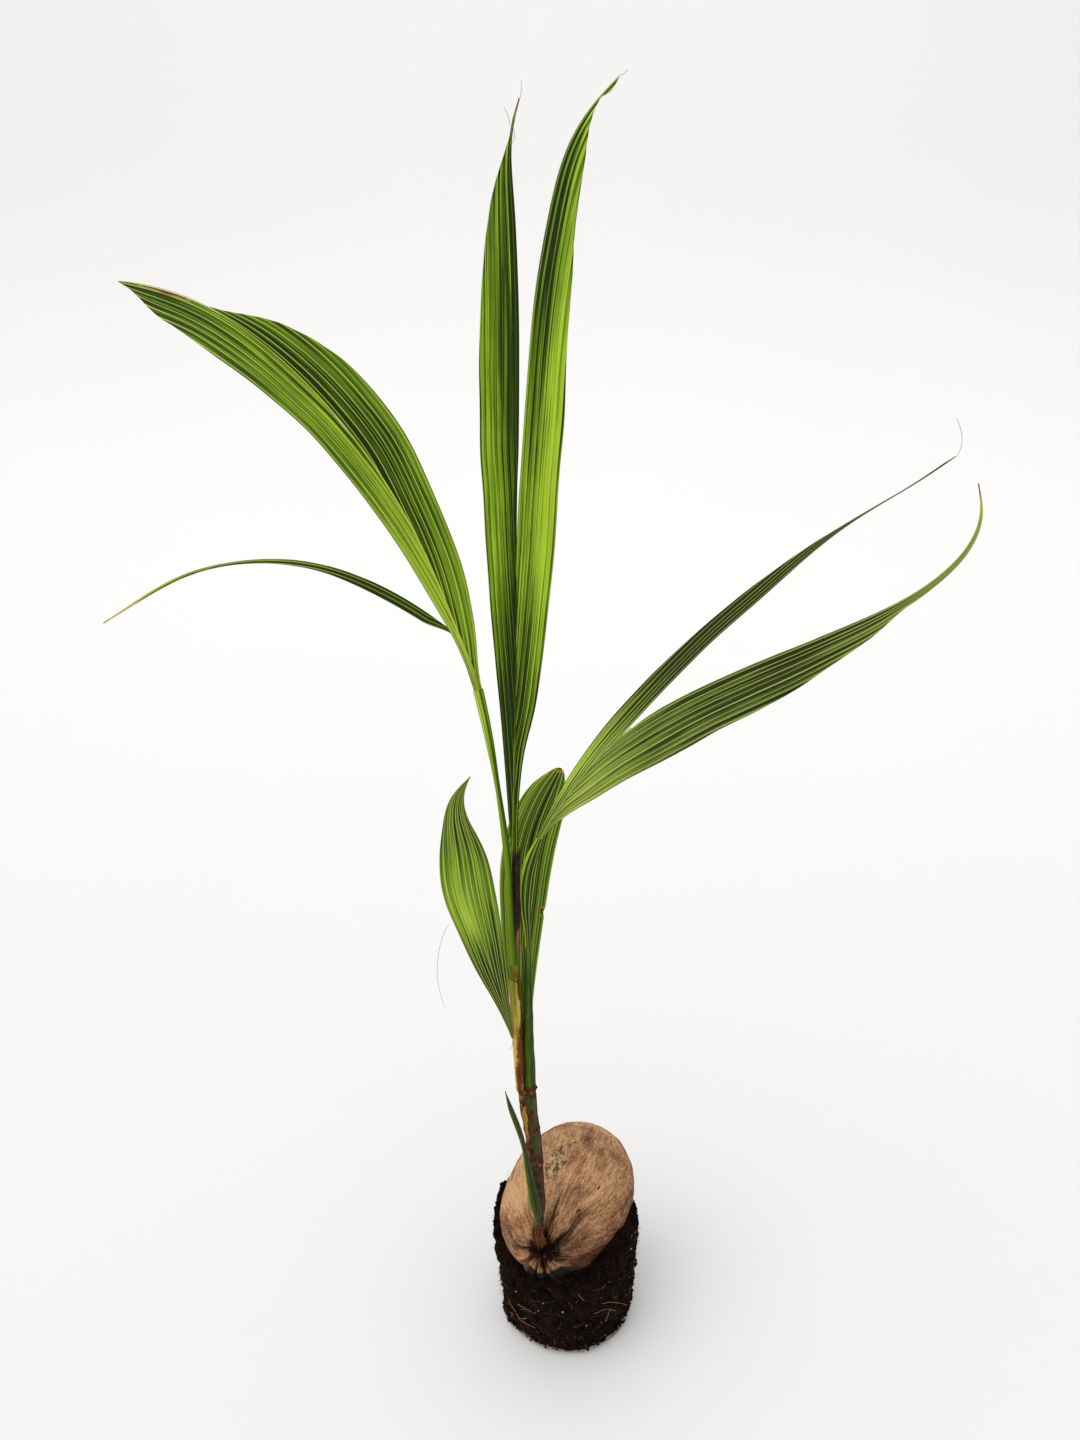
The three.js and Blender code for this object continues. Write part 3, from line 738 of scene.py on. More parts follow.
def leaf_finish(name, leaf, lobe):
    """Satin blade: streaks of three greens along it, pale veins, painted light and shade"""
    finish = Finish(name.replace("_", " "))
    deep, fresh, bright, pale = (duller(one, lobe.get("dull", 0)) for one in
                                 (leaf.deep, leaf.fresh, leaf.bright, leaf.vein))
    vein, along = finish.coordinates("surface")
    dry, tone_and_shade = finish.coordinates("marks")
    spacing, _ = finish.coordinates("spread")
    pleat = vein.fraction()
    line = (spacing * 0.14).math("MINIMUM", leaf.vein_width)
    beside = (pleat - 0.5) * spacing / line
    ridge = 1 - abs(beside).soft(0.7, 1.6)
    # Painted shade along each valley and in a thin line beside each vein
    valley_shade = 1 - ((0.5 - abs(pleat - 0.5)) * spacing / line).soft(0.3, 1.3)
    groove_shade = beside.soft(1, 2) * (1 - beside.soft(3, 6.5)) + valley_shade * 0.8
    groove_shade = groove_shade * lobe.get("groove_shading", 1.0)
    # Painted light on the ridge of each pleat and painted shade in its valleys
    band = 0.5 - abs(pleat - 0.5) * 2
    streaks = finish.noise(1, vector=finish.vector(vein * 1.7, along * 2.5))
    coarse = finish.noise(1, 3, 0.65, finish.vector(vein * 2.3, along * 5, 5))
    fine = finish.noise(1, 2, 0.6, finish.vector(vein * 6.5, along * 6))
    lines = coarse + (fine - coarse) * spacing.soft(0.0012, 0.006)
    patches = finish.noise(1, 3, vector=finish.vector(vein * 0.6, along * 16))
    wild = lobe.get("streaks", 1.0)
    # Brightness of the green: the tone mark with its painted light and shade, streaks and patches
    # of the leaf's own tone, and the painted light and shade of the pleats and grooves
    light = (0.46 + tone_and_shade + (streaks - 0.5) * (1.8 * wild) + (lines - 0.5) * (2.8 * wild)
             + (patches - 0.5) * 0.9 + band * lobe.get("pleat_shading", 0.3) - groove_shade * leaf.groove_shade)
    strength = lines.soft(0.3, 0.6, 0.45, 1) * (leaf.vein_share * lobe.get("lines", 0.7))
    tips = leaf.yellow if "yellow_from" in lobe else halfway(leaf.yellow, leaf.withered)
    withered = finish.coats(scaled(leaf.withered, 0.4), (lines.soft(0.35, 0.65), leaf.withered))
    colour = finish.coats(
        deep, (light.soft(-0.05, 0.5), fresh), (light.soft(0.45, 1.15), bright),
        ((ridge * strength).math("MINIMUM", 1.0), pale), ((dry * 2).soft(0.1, 1), tips),
        ((dry * 2 - 1).soft(0.05, 0.6), withered))
    glow = halfway(fresh, bright)
    return finish.shade(
        colour, patches.soft(0.3, 0.7, 0.38, 0.52), leaf.gloss,
        (lines * 0.6 + ridge * 0.5 - groove_shade * 0.3, 0.4, 0.0004),
        scaled(glow, 0.75 / max(glow)), light.soft(0, 1.2, 0.2 * leaf.glow, 1.6 * leaf.glow))


def stalk_finish(name, first, second, brown, third, roughness=0.42):
    """Smooth stalk with faint lines along it, brown, fibrous places and painted light and shade"""
    finish = Finish(name)
    turn, along = finish.coordinates("surface")
    dry, tone_and_shade = finish.coordinates("marks")
    ringwise = finish.around(turn, along * 12)
    fine = finish.noise(9, 3, vector=ringwise)
    light = fine * 0.8 + finish.noise(2.2, 3, vector=ringwise) * 0.8 + tone_and_shade
    fibre = finish.noise(1400, stretch=(1, 1, 0.08))
    dark = finish.coats(scaled(brown, 0.3), (fibre.soft(0.35, 0.7), brown))
    colour = finish.coats(first, (light.soft(0.45, 0.9), second), (light.soft(0.95, 1.4), third),
                          (dry, dark))
    return finish.shade(colour, dry.soft(0, 1, roughness, 0.85), 0.08,
                        (fine * 0.4 + dry * fibre, 0.5, 0.0005))


def bark_finish(name, stem):
    """Scaly brown sheath with green, yellow and dark places

    The first mark is green above nought and yellow below it, where it paints a highlight on the
    stem's left side. The second is dark above nought, from cracks and from painted shade down the
    stem's right side, and orange below it.
    """
    finish = Finish(name)
    live, worn = finish.coordinates("marks")
    scales = finish.noise(420, 4, 0.6, stretch=(1, 1, 0.35))
    fibre = finish.noise(1300, stretch=(1, 1, 0.1))
    patch = finish.noise(170, 3)
    ragged = (scales - 0.5) * 1.6 + (patch - 0.5) * 1.8
    green = finish.coats(scaled(stem.green, 0.6), (fibre.soft(0.35, 0.65), stem.green))
    colour = finish.coats(
        stem.dark_bark, (scales.soft(0.36, 0.62), stem.bark),
        (patch.soft(0.5, 0.72, 0, 0.6), stem.ochre), ((live + ragged).soft(0.32, 0.72), green),
        ((ragged - live).soft(0.3, 0.8, 0, 0.9), stem.yellow),
        ((ragged - worn).soft(0.25, 0.75, 0, 0.95), stem.orange),
        ((worn + ragged).soft(0.3, 0.75), scaled(stem.dark_bark, 0.3)))
    return finish.shade(colour, live.soft(0.1, 0.6, 0.88, 0.55), 0.2,
                        (scales * 0.7 + fibre * 0.3, 0.7, 0.0008))


def fibre_finish(name, dark, light, straw):
    """Coarse dry fibres along a sheath, with straw-coloured ones at the second mark"""
    finish = Finish(name)
    fibre = finish.noise(1500, 3, 0.65, stretch=(1, 1, 0.06))
    dry, worn = finish.coordinates("marks")
    shade = fibre * 0.9 + finish.noise(140, 3) * 0.6 + dry
    colour = finish.coats(dark, (shade.soft(0.6, 1.1), light),
                          ((worn + (fibre - 0.5) * 0.9).soft(0.35, 0.8), straw))
    return finish.shade(colour, 0.92, 0.2, (fibre, 0.8, 0.0008))


def husk_finish(name, nut):
    """Dry husk: fibres along it, creases with painted shade, a rough scar and weathered blotches

    The first mark is a crease, darkened partly by painted shade, above nought and orange fibre
    below it. The second is the rough scar above nought and the painted shadow on the underside
    below it. Painted light makes the top and the left side lighter.
    """
    finish = Finish(name)
    turn, along = finish.coordinates("surface")
    crease_mark, skin_mark = finish.coordinates("marks")
    around = finish.around(turn, along * 0.9)
    fibre, streak = (finish.noise(scale, 3, 0.6, around) for scale in (40, 10))
    blotch = finish.noise(30, 5, 0.6)
    speck = finish.noise(480, 3, 0.7)
    flecks = finish.noise(170, 6, 0.8, stretch=(1, 0.6, 1))
    x, _, z = finish.parts(finish.place())
    # Painted light: lighter towards the top and on the left side, darker low down
    high, left = z.soft(0.11, 0.21, -0.42, 0.2), (0 - x).soft(0.01, 0.06, 0, 0.3)
    light = fibre * 1.1 + streak * 1.3 + blotch * 2.0 + speck * 1.7 + high + left - 2.55
    rough = (skin_mark * 1.3 + (streak - 0.5) * 1.6 + (speck - 0.5) * 1.2).soft(0.45, 1.15)
    crumbled = finish.coats(scaled(nut.brown, 0.4), (flecks.soft(0.42, 0.52), nut.scar))
    # Painted shadow on the underside, from the second mark
    under = (0 - skin_mark + (blotch - 0.5) * 0.8 + (fibre - 0.5) * 0.8).soft(0.25, 1)
    torn = (0 - crease_mark + (fibre - 0.5) * 2).soft(0.25, 0.7)
    spots = ((speck - 0.5) * 0.9 + (blotch - 0.5) * 0.6).soft(0.19, 0.25, 0, 0.75)
    # Painted shade in the creases, partly the husk's own dark fibre, and near black in the frayed
    # pit
    shadow = (crease_mark * 1.3 + (fibre - 0.5) * 0.9).soft(0.25, 1)
    colour = finish.coats(
        nut.brown, (light.soft(-0.1, 0.5), nut.tan), (light.soft(0.4, 1.15), nut.pale),
        (rough * 0.8, crumbled), (under, nut.underside_shadow), (torn, nut.coir),
        (spots, scaled(nut.brown, 0.3)), (shadow * crease_mark.soft(0, 0.3), nut.dark),
        (crease_mark.soft(0.85, 1.1), scaled(nut.dark, 0.3)))
    height = fibre * 0.6 + finish.noise(900, 2, 0.6) * 0.5 + speck * 0.6
    height = height - rough * flecks.soft(0.6, 0.4)
    return finish.shade(colour, light.soft(0.2, 0.9, 0.62, 0.85), 0.1, (height, 0.9, 0.0014))


def soil_finish(name, soil):
    """Near black crumbly peat with brown fibres in it"""
    finish = Finish(name)
    crumb = finish.noise(420, 4, 0.7)
    light = crumb * 0.9 + finish.noise(60, 3) * 0.6
    wisp = finish.noise(900, stretch=(1, 1, 2.4))
    colour = finish.coats(soil.dark, (light.soft(0.62, 1), soil.brown),
                          (wisp.soft(0.66, 0.72, 0, 0.6), scaled(soil.root, 0.5)))
    return finish.shade(colour, 0.96, 0.05, (crumb, 1, 0.002))


def plain_finish(name, colour, roughness=0.8, gloss=0.2):
    """One base colour for fine joined things, with a slight unevenness in gloss"""
    finish = Finish(name)
    uneven = finish.noise(80).soft(0.3, 0.7, roughness - 0.08, roughness + 0.03)
    return finish.shade(colour, uneven, gloss)


# Settings


def colour_setting(name, text, default):
    return FloatVectorProperty(name=name, description=text, subtype="COLOR", size=3, min=0,
                               max=1, default=default)


def size_setting(name, text, default):
    return FloatProperty(name=name, description=text, default=default, min=0, precision=5,
                         subtype="DISTANCE", unit="LENGTH")


def share_setting(name, text, default):
    return FloatProperty(name=name, description=text, default=default, min=0, max=1,
                         subtype="FACTOR")


class PalmLeafSettings(bpy.types.PropertyGroup):
    """Sizes and colours of the leaf blades"""

    thickness: size_setting("Thickness", "Thickness of a blade", 0.0007)
    pleat_rise: share_setting("Pleat rise", "Depth of a pleat as a share of its width", 0.2)
    glow: share_setting("Light through", "Share of light that shines through a blade", 0.15)
    gloss: share_setting("Gloss", "Strength of the reflection on a blade", 0.1)
    # Strength of the painted shade in the grooves beside the veins and in the valleys
    groove_shade: share_setting("Grooves", "How dark the grooves beside the veins are", 0.5)
    vein_share: share_setting("Veins show", "How clearly the veins show", 0.95)
    vein_width: size_setting("Vein width", "Half the width of a vein", 0.00034)
    deep: colour_setting("Deep green", "Darkest green of the blades", tint(32, 50, 4))
    fresh: colour_setting("Fresh green", "Middle green of the blades", tint(102, 138, 20))
    bright: colour_setting("Bright green", "Lightest green of the blades", tint(190, 220, 62))
    vein: colour_setting("Veins", "Colour of the veins", tint(220, 234, 104))
    yellow: colour_setting("Yellow", "Colour of yellowed tips", tint(206, 186, 72))
    withered: colour_setting("Withered", "Colour of dried tips and edges", tint(128, 92, 52))


class PalmStemSettings(bpy.types.PropertyGroup):
    """Colours and relief of the stem and its sheaths"""

    relief: size_setting("Bark relief", "Height of the scales on the stem", 0.0007)
    bark: colour_setting("Bark", "Brown of the dry sheath", tint(88, 56, 32))
    dark_bark: colour_setting("Dark bark", "Darkest brown of the sheath", tint(46, 28, 16))
    ochre: colour_setting("Ochre", "Yellowish patches of the sheath", tint(116, 82, 38))
    orange: colour_setting("Orange", "Torn rings and scars", tint(160, 94, 48))
    green: colour_setting("Green", "Green patches of the stem", tint(64, 76, 8))
    # Also the colour of the painted highlight on the stem's left side below the ring
    yellow: colour_setting("Yellow", "Yellow patches of the stem", tint(176, 136, 48))
    fibre: colour_setting("Fibres", "Dry fibres at the crown", tint(72, 48, 36))
    dark_fibre: colour_setting("Dark fibres", "Darkest fibres at the crown", tint(34, 20, 18))


class PalmNutSettings(bpy.types.PropertyGroup):
    """Colours and relief of the husked nut"""

    creases: size_setting("Creases", "Depth of the creases round the sprout", 0.0052)
    tan: colour_setting("Tan", "Main colour of the husk", tint(152, 108, 75))
    brown: colour_setting("Brown", "Darker streaks of the husk", tint(84, 52, 35))
    pale: colour_setting("Pale", "Weathered patches of the husk", tint(210, 166, 121))
    scar: colour_setting("Scar", "Rough patches where the skin came off", tint(234, 192, 142))
    # Colour of the painted shadow on the husk's underside
    underside_shadow: colour_setting("Lip", "Dark underside of the husk", tint(26, 19, 15))
    # Colour of the creases and the frayed pit, partly painted shade in them
    dark: colour_setting("Dark", "Creases and the frayed pit", tint(38, 24, 18))
    coir: colour_setting("Coir", "Loose fibres round the sprout", tint(132, 80, 40))
    strings: IntProperty(name="Coir strings", description="Fibres round the sprout",
                         default=150, min=0, max=600)


class PalmSoilSettings(bpy.types.PropertyGroup):
    """Colours and amounts of the root ball"""

    dark: colour_setting("Dark soil", "Wet peat", tint(8, 4, 3))
    brown: colour_setting("Brown soil", "Drier peat", tint(40, 27, 21))
    root: colour_setting("Roots", "Fine roots", tint(176, 120, 76))
    perlite: colour_setting("Pale grains", "Pale grains in the soil", tint(205, 180, 150))
    clods: IntProperty(name="Clods", description="Loose crumbs on the side", default=620,
                       min=0, max=2000)
    grains: IntProperty(name="Grains", description="Pale grains on the side", default=46,
                        min=0, max=400)
    roots: IntProperty(name="Roots", description="Fine roots on the side", default=110, min=0,
                       max=400)


class PalmStageSettings(bpy.types.PropertyGroup):
    """Floor and lights"""

    floor: colour_setting("Floor", "Colour of the floor", (0.925, 0.92, 0.91))
    sky: FloatProperty(name="Soft light", description="Strength of the light from all sides",
                       default=0.72, min=0)
    sun: FloatProperty(name="Sun", description="Strength of the wide soft sun", default=1.0,
                       min=0)
    wall: FloatProperty(name="Wall light", description="Power of the lamp on the backdrop",
                        default=9, min=0, unit="POWER")


# Pieces


def stem_paths():
    """Growth paths of the stem, from the nut to the foot of each frond"""
    lower = grown(LOWER_STEM["path"])
    ring = grown(STEM_RING["path"], lower.end)
    left, right = (grown(one["path"], ring.end + np.array(one["offset"]) * MM)
                   for one in (LEFT_SHEATH, RIGHT_SHEATH))
    return {"lower": lower, "ring": ring, "left": left, "right": right}


def section(table):
    """Half sizes along a tube from side to side and from front to back"""
    return table["across"], table["deep"]


def tufts(skin, path, radius, chance, count, length, lean, start, stop, finish=0):
    """Loose fibres that leave a path between two shares of its length, at a radius from it"""
    for _ in range(count):
        share = chance.uniform(start, stop)
        place, _, right, back = path.at(np.array([share * path.length]))
        turn = chance.uniform(0, 2 * np.pi)
        foot = place[0] + radius * (right[0] * np.cos(turn) + back[0] * np.sin(turn))
        tilt = chance.normal(0, lean, 3)
        growth = Path(foot, chance.uniform(*length), tilt, chance.normal(0, lean, 2))
        spots = growth.place[:: PATH_STEPS // 10]
        string(skin, spots, chance.uniform(0.15, 0.32) * MM, 4, finish, thin=4)


# Reliefs give a height and marks a pair of values for each point of a tube, from the point, the
# turn round the tube and the share of its length.


def scaly(points, turn, ring):
    """Scales of the lower stem, torn in places, with the scars of two fallen leaves"""
    flakes = layers(points * (1, 1, 0.3), 0.005, 3, 5)
    torn = crease(points * (1, 1, 0.5), 0.009, 0.12, 9)
    scars = near(ring, 0.6, 0.007) + 0.7 * near(ring, 0.79, 0.01)
    return flakes - torn * 1.2 + scars * 1.2


# Green patches, orange scars and foot and dark cracks, with a painted yellow highlight on the left
# below the ring and painted shade down the right side
def stem_patches_and_shading(points, turn, ring):
    patchy = soft(cloud(points * (1, 1, 0.55), 0.01, 4), -0.5, 0.2)
    green = near(turn, 0.56, 0.13) * soft(ring, 0.5, 0.62) * patchy
    green = green * (1 - 0.8 * near(ring, 0.79, 0.03)) * (1 - soft(ring, 0.96, 0.99))
    yellow = 1.5 * near(turn, 0.41, 0.06) * near(ring, 0.86, 0.08)
    foot = 1 - soft(ring + 0.02 * cloud(points, 0.006, 2), 0.13, 0.2)
    tilted = ring + 0.012 * np.sin(2 * np.pi * turn)
    orange = 0.2 * foot + 0.5 * near(tilted, 0.6, 0.006)
    orange = orange + 0.55 * near(turn, 0.34, 0.08) * soft(ring, 0.55, 0.7)
    worn = 0.5 * crease(points, 0.008, 0.1, 9) + 0.6 * near(turn, 0.73, 0.07)
    return joined(1.15 * green - yellow, worn - orange)


def torn_skin(points, turn, ring):
    return 1.4 * layers(points, 0.004, 3, 2)


def ring_marks(points, turn, ring):
    return joined(0.0, soft(cloud(points, 0.004, 6), 0.0, 0.5) * 1.3 - 0.18)


class PALM_OT_stem(bpy.types.Operator):
    """Build the scaly lower stem and its swollen ring"""

    bl_idname = "palm.stem"
    bl_label = "Lower stem and ring"

    def execute(self, context):
        stem = context.scene.palm_stem
        bark = bark_finish("scaly bark", stem)
        paths = stem_paths()
        for name, node, path, table, rings, sides, relief, marks in (
                ("lower_stem_bark", "lower_stem", "lower", LOWER_STEM, 300, 72, scaly,
                 stem_patches_and_shading),
                ("torn_ring", "stem_ring", "ring", STEM_RING, 16, 96, torn_skin, ring_marks)):
            skin = Skin()
            tube(skin, paths[path], *section(table), rings, sides, relief, marks,
                 depth=stem.relief)
            skin.piece(name, [bark], "bark", node)
        return {"FINISHED"}


def lined(points, turn, ring):
    """Fine ribs along a leaf base"""
    return layers(points * (1, 1, 0.2), 0.004, 3, 4)


def left_base_marks(points, turn, ring):
    """Rust over the lower part and down one side, between yellow margins"""
    ragged = cloud(points * (1, 1, 0.25), 0.004, 8)
    scurf = cloud(points * (0.6, 0.6, 2), 0.004, 21) * (1 - soft(ring, 0.75, 0.85))
    below = 1 - soft(ring + 0.1 * ragged + 0.06 * scurf, 0.25, 0.75)
    margins = near(turn, 0.35, 0.09) + near(turn, 0.61, 0.04) * (1 - below)
    yellow = (margins + 0.6 * below) * (1 - soft(ring, 0.86, 0.94))
    rust = near(turn, 0.7, 0.07) * (1 - soft(ring, 0.88, 0.96)) + 1.1 * below
    rust = rust * (1 - 0.85 * near(turn, 0.33, 0.09)) + 0.4 * margins * (1 - below)
    cut = near(ring + 0.12 * (turn - 0.5), 0.885, 0.008)
    dry = soft(rust + 0.9 * ragged + 0.35 * scurf, 0.3, 1.05) + cut
    return joined(np.clip(dry, 0, 1), 1.1 * yellow + 0.5 * scurf * yellow)


def right_base_marks_and_shading(points, turn, ring):
    """Dry foot, a painted highlight down the front and a painted shadow beside it"""
    ragged = cloud(points * (1, 1, 0.35), 0.006, 3) * 0.5
    foot = 1 - soft(ring + ragged * 0.04, 0.0, 0.05)
    tone_and_shade = 0.35 * near(turn, 0.5, 0.07) - 0.4 * near(turn, 0.74, 0.07) - 0.1
    return joined(foot, tone_and_shade + 0.35 * soft(ring, 0.75, 1))


def fibrous(points, turn, ring):
    """Coarse fibres that thin out to a ragged top"""
    ragged_top = -0.0016 * soft(ring, 0.93, 1) * (1 + cloud(points, 0.002, 3))
    return 0.0007 * layers(points * (1, 1, 0.08), 0.0022, 2, 7) + ragged_top


def straw_foot(points, turn, ring):
    low = 1 - soft(ring + 0.05 * cloud(points, 0.004, 5), 0.25, 0.55)
    return joined(0.6 * low, low * (0.35 + near(turn, 0.6, 0.12)))


class PALM_OT_sheaths(bpy.types.Operator):
    """Build the two leaf bases above the ring and the dark fibres between them"""

    bl_idname = "palm.sheaths"
    bl_label = "Leaf bases and fibres"

    def execute(self, context):
        stem = context.scene.palm_stem
        paths = stem_paths()
        olive = stalk_finish("yellow-green leaf base", tint(70, 92, 12), tint(124, 148, 28),
                             tint(126, 74, 34), tint(198, 166, 76))
        green = stalk_finish("dark green leaf base", tint(18, 28, 2), tint(56, 76, 14),
                             stem.bark, tint(100, 128, 34))
        for side, table, finish, marks in (
                ("left", LEFT_SHEATH, olive, left_base_marks),
                ("right", RIGHT_SHEATH, green, right_base_marks_and_shading)):
            skin = Skin()
            tube(skin, paths[side], *section(table), 180, 56, lined, marks, depth=0.0004)
            skin.piece(f"{side}_leaf_base", [finish], "stalk", f"{side}_sheath")

        chance = np.random.default_rng(11)
        dark = fibre_finish("dark sheath fibres", stem.dark_fibre, stem.fibre,
                            tint(138, 104, 54))
        loose = plain_finish("loose fibres", tint(58, 38, 28), 0.9)
        path = grown(FIBRE_SHEATH["path"])
        skin = Skin()
        tube(skin, path, *section(FIBRE_SHEATH), 160, 56, fibrous, straw_foot)
        tufts(skin, path, 0.0032, chance, 44, (6, 15), 7, 0.93, 0.985, finish=1)
        tufts(skin, path, 0.0034, chance, 24, (8, 18), 4, 0.3, 0.9, finish=1)
        skin.piece("crown_fibres", [dark, loose], "fibre", "fibre_sheath")
        return {"FINISHED"}


def pleated(folds):
    """Relief of pleats along a stalk"""
    def relief(points, turn, ring):
        return 0.5 - 2 * np.abs(turn * folds % 1 - 0.5)
    return relief


def stalk(frond, finish, marks, rings, sides):
    """Pleated stalk of a side frond"""
    table = FRONDS[frond]
    skin = Skin()
    tube(skin, grown(table["stalk"], stem_paths()[frond].end), *section(table), rings, sides,
         pleated(table["folds"]), marks, lines=table["folds"], depth=STALK_PLEAT)
    skin.piece(f"{frond}_stalk", [finish], "stalk", f"{frond}_frond_stalk")


def rachis_of(frond):
    """Growth path of the rachis that carries both blades of a frond"""
    table = FRONDS[frond]
    start = grown(table["stalk"], stem_paths()[frond].end).end if "stalk" in table else None
    return grown(table["rachis"], start)


def blades(frond, leaf, rib, marks=None):
    """Both blades of a frond, one of which carries its rib"""
    table, rachis = FRONDS[frond], rachis_of(frond)
    for side in table["sides"]:
        name, lobe = f"{frond}_blade_{side}", LOBES[f"{frond}_{side}"]
        skin = Skin()
        blade(skin, rachis.then(lobe.get("own")), lobe, leaf, table["rows"])
        if side == table["rib_on"]:
            tube(skin, rachis, *section(table["rib"]), *table["rib_grid"], marks=marks, finish=1)
        skin.piece(name, [leaf_finish(name, leaf, lobe), rib], "leaf", f"{frond}_frond_{side}")


def lone_blade(name, lobe, node, leaf, rows, lines_per_vein=8):
    """Blade on a path of its own"""
    skin = Skin()
    blade(skin, grown(lobe["path"]), lobe, leaf, rows, lines_per_vein)
    skin.piece(name, [leaf_finish(name, leaf, lobe)], "leaf", node)


# Painted light down the stalk's left front and painted shade down its right front, a painted
# shadow line in its channel, painted light and shade on the folds near its top, and lighter
# towards the top
def left_stalk_shading(points, turn, ring):
    tone_and_shade = 0.3 * near(turn, 0.4, 0.09) - 0.4 * near(turn, 0.68, 0.12)
    line = near(turn, 0.54, 0.03) * soft(ring, 0.45, 0.6)
    fold = np.cos(2 * np.pi * turn * 8) * soft(ring, 0.6, 1)
    return joined(0.0, tone_and_shade - 0.4 * line + 0.3 * fold + 0.25 * soft(ring, 0.7, 1))


def left_rib_marks(points, turn, ring):
    return joined(0 * turn, 0.6 * soft(ring, 0.0, 0.14) - 0.15)


# A painted highlight down the rib's front left over its lower part, darker elsewhere
def centre_rib_shading(points, turn, ring):
    return joined(0.0, 0.9 * near(turn, 0.36, 0.07) * (1 - soft(ring, 0.3, 0.5)) - 0.25)


# Painted light along the left margin of the rolled leaf base and a painted shadow line down its
# right front
def right_stalk_shading(points, turn, ring):
    return joined(0 * ring, 1.3 * near(turn, 0.31, 0.07) - 0.5 * near(turn, 0.6, 0.09) - 0.1)


class PALM_OT_left_frond(bpy.types.Operator):
    """Build the arching left frond: its stalk, both halves of its blade and the torn strap"""

    bl_idname = "palm.left_frond"
    bl_label = "Left frond"

    def execute(self, context):
        leaf = context.scene.palm_leaf
        green = stalk_finish("bright stalk", tint(56, 80, 8), tint(122, 152, 26),
                             tint(120, 84, 50), tint(188, 210, 74))
        rib = stalk_finish("pale rib", tint(78, 104, 20), tint(168, 190, 64),
                           tint(110, 80, 50), tint(200, 210, 90), 0.5)
        stalk("left", green, left_stalk_shading, 260, 48)
        blades("left", leaf, rib, left_rib_marks)
        lone_blade("left_blade_strap", LOBES["left_strap"], "left_frond_strap", leaf, 180, 12)
        return {"FINISHED"}


class PALM_OT_centre_frond(bpy.types.Operator):
    """Build the upright centre frond with its two lobes and the yellow rib between them"""

    bl_idname = "palm.centre_frond"
    bl_label = "Centre frond"

    def execute(self, context):
        rib = stalk_finish("yellow rib", tint(44, 62, 12), tint(104, 128, 24),
                           tint(110, 80, 50), tint(188, 196, 70), 0.5)
        blades("centre", context.scene.palm_leaf, rib, centre_rib_shading)
        return {"FINISHED"}


class PALM_OT_right_frond(bpy.types.Operator):
    """Build the right frond: its rolled leaf base and its two long lobes"""

    bl_idname = "palm.right_frond"
    bl_label = "Right frond"

    def execute(self, context):
        leaf = context.scene.palm_leaf
        rolled = leaf_finish("rolled leaf base", leaf,
                             dict(lines=0.3, pleat_shading=0.3, groove_shading=0.45, dull=0.1))
        rib = stalk_finish("grey-green rib", tint(110, 128, 56), tint(160, 172, 90),
                           tint(110, 80, 50), tint(190, 200, 110), 0.5)
        stalk("right", rolled, right_stalk_shading, 160, 90)
        blades("right", leaf, rib)
        return {"FINISHED"}


class PALM_OT_low_leaves(bpy.types.Operator):
    """Build the two low leaves, the small first leaf and the loose threads"""

    bl_idname = "palm.low_leaves"
    bl_label = "Low leaves and threads"

    def execute(self, context):
        leaf = context.scene.palm_leaf
        for name in ("low_left", "low_right", "first"):
            lone_blade(f"{name}_blade", LOBES[name], f"{name}_leaf", leaf, 170)
        hairs = [grown(table) for table in THREADS]
        for frond, side in (("centre", "left_lobe"), ("centre", "right_lobe"),
                            ("right", "upper_lobe")):
            lobe = LOBES[f"{frond}_{side}"]
            hairs.append(grown(lobe["hair"], rachis_of(frond).then(lobe["own"]).end))
        skin = Skin()
        for hair in hairs:
            string(skin, hair.place[::3], THREAD_RADIUS * MM, 4, thin=6)
        skin.piece("loose_threads", [plain_finish("dry thread", tint(166, 144, 118), 0.85)],
                   "leaf")
        return {"FINISHED"}


NUT_EYE = unit(np.array([0.28, -0.932, 0.23]))
NUT_SIZE = 85 * MM
# Rows and columns of the husk, whose rows are closer together round its eye
NUT_GRID, NUT_FOCUS = (250, 350), 1.3
COIR_POINTS, COIR_RADIUS = 10, (0.12, 0.3)
NUT_SCAR = (-0.02, -0.2, 0.97)
# Dark pits on the husk: direction from the nut's middle, and size
NUT_SPOTS = (((0.693, -0.131, 0.709), 2.6), ((0.601, -0.484, 0.636), 3),
             ((0.869, 0.193, 0.455), 2), ((-0.434, -0.893, 0.118), 3.5),
             ((0.12, -0.16, 0.98), 2.2))


def on_nut(ball, height):
    """Places on the husk, some height above its bare form, for directions from its middle"""
    x, y, z = np.moveaxis(ball, -1, 0)
    ridges = NUT["ridge_share"] * np.cos(NUT["ribs"] * np.arctan2(x, z)) * np.hypot(x, z)**2
    swell = 1 + ridges + NUT["back_swell"] * y
    half = np.array(NUT["half"]) * MM
    points = ball * half * joined(swell, 1.0, swell)
    points = points + unit(ball / half) * np.asarray(height)[..., None]
    rise, spin = math.radians(NUT["rise"]), math.radians(-NUT["turn"])
    lift = np.array([[1, 0, 0], [0, math.cos(rise), -math.sin(rise)],
                     [0, math.sin(rise), math.cos(rise)]])
    swing = np.array([[math.cos(spin), -math.sin(spin), 0],
                      [math.sin(spin), math.cos(spin), 0], [0, 0, 1]])
    return points @ (swing @ lift).T + np.array(NUT["centre"]) * MM


def round_eye(reach, aim):
    """Directions from the nut's middle at a reach from its eye, aimed round it from the top"""
    up = unit(UP - NUT_EYE * NUT_EYE[2])
    side = np.cross(up, NUT_EYE)
    reach, aim = (np.asarray(one, float)[..., None] for one in (reach, aim))
    return NUT_EYE * np.cos(reach) + (up * np.cos(aim) + side * np.sin(aim)) * np.sin(reach)


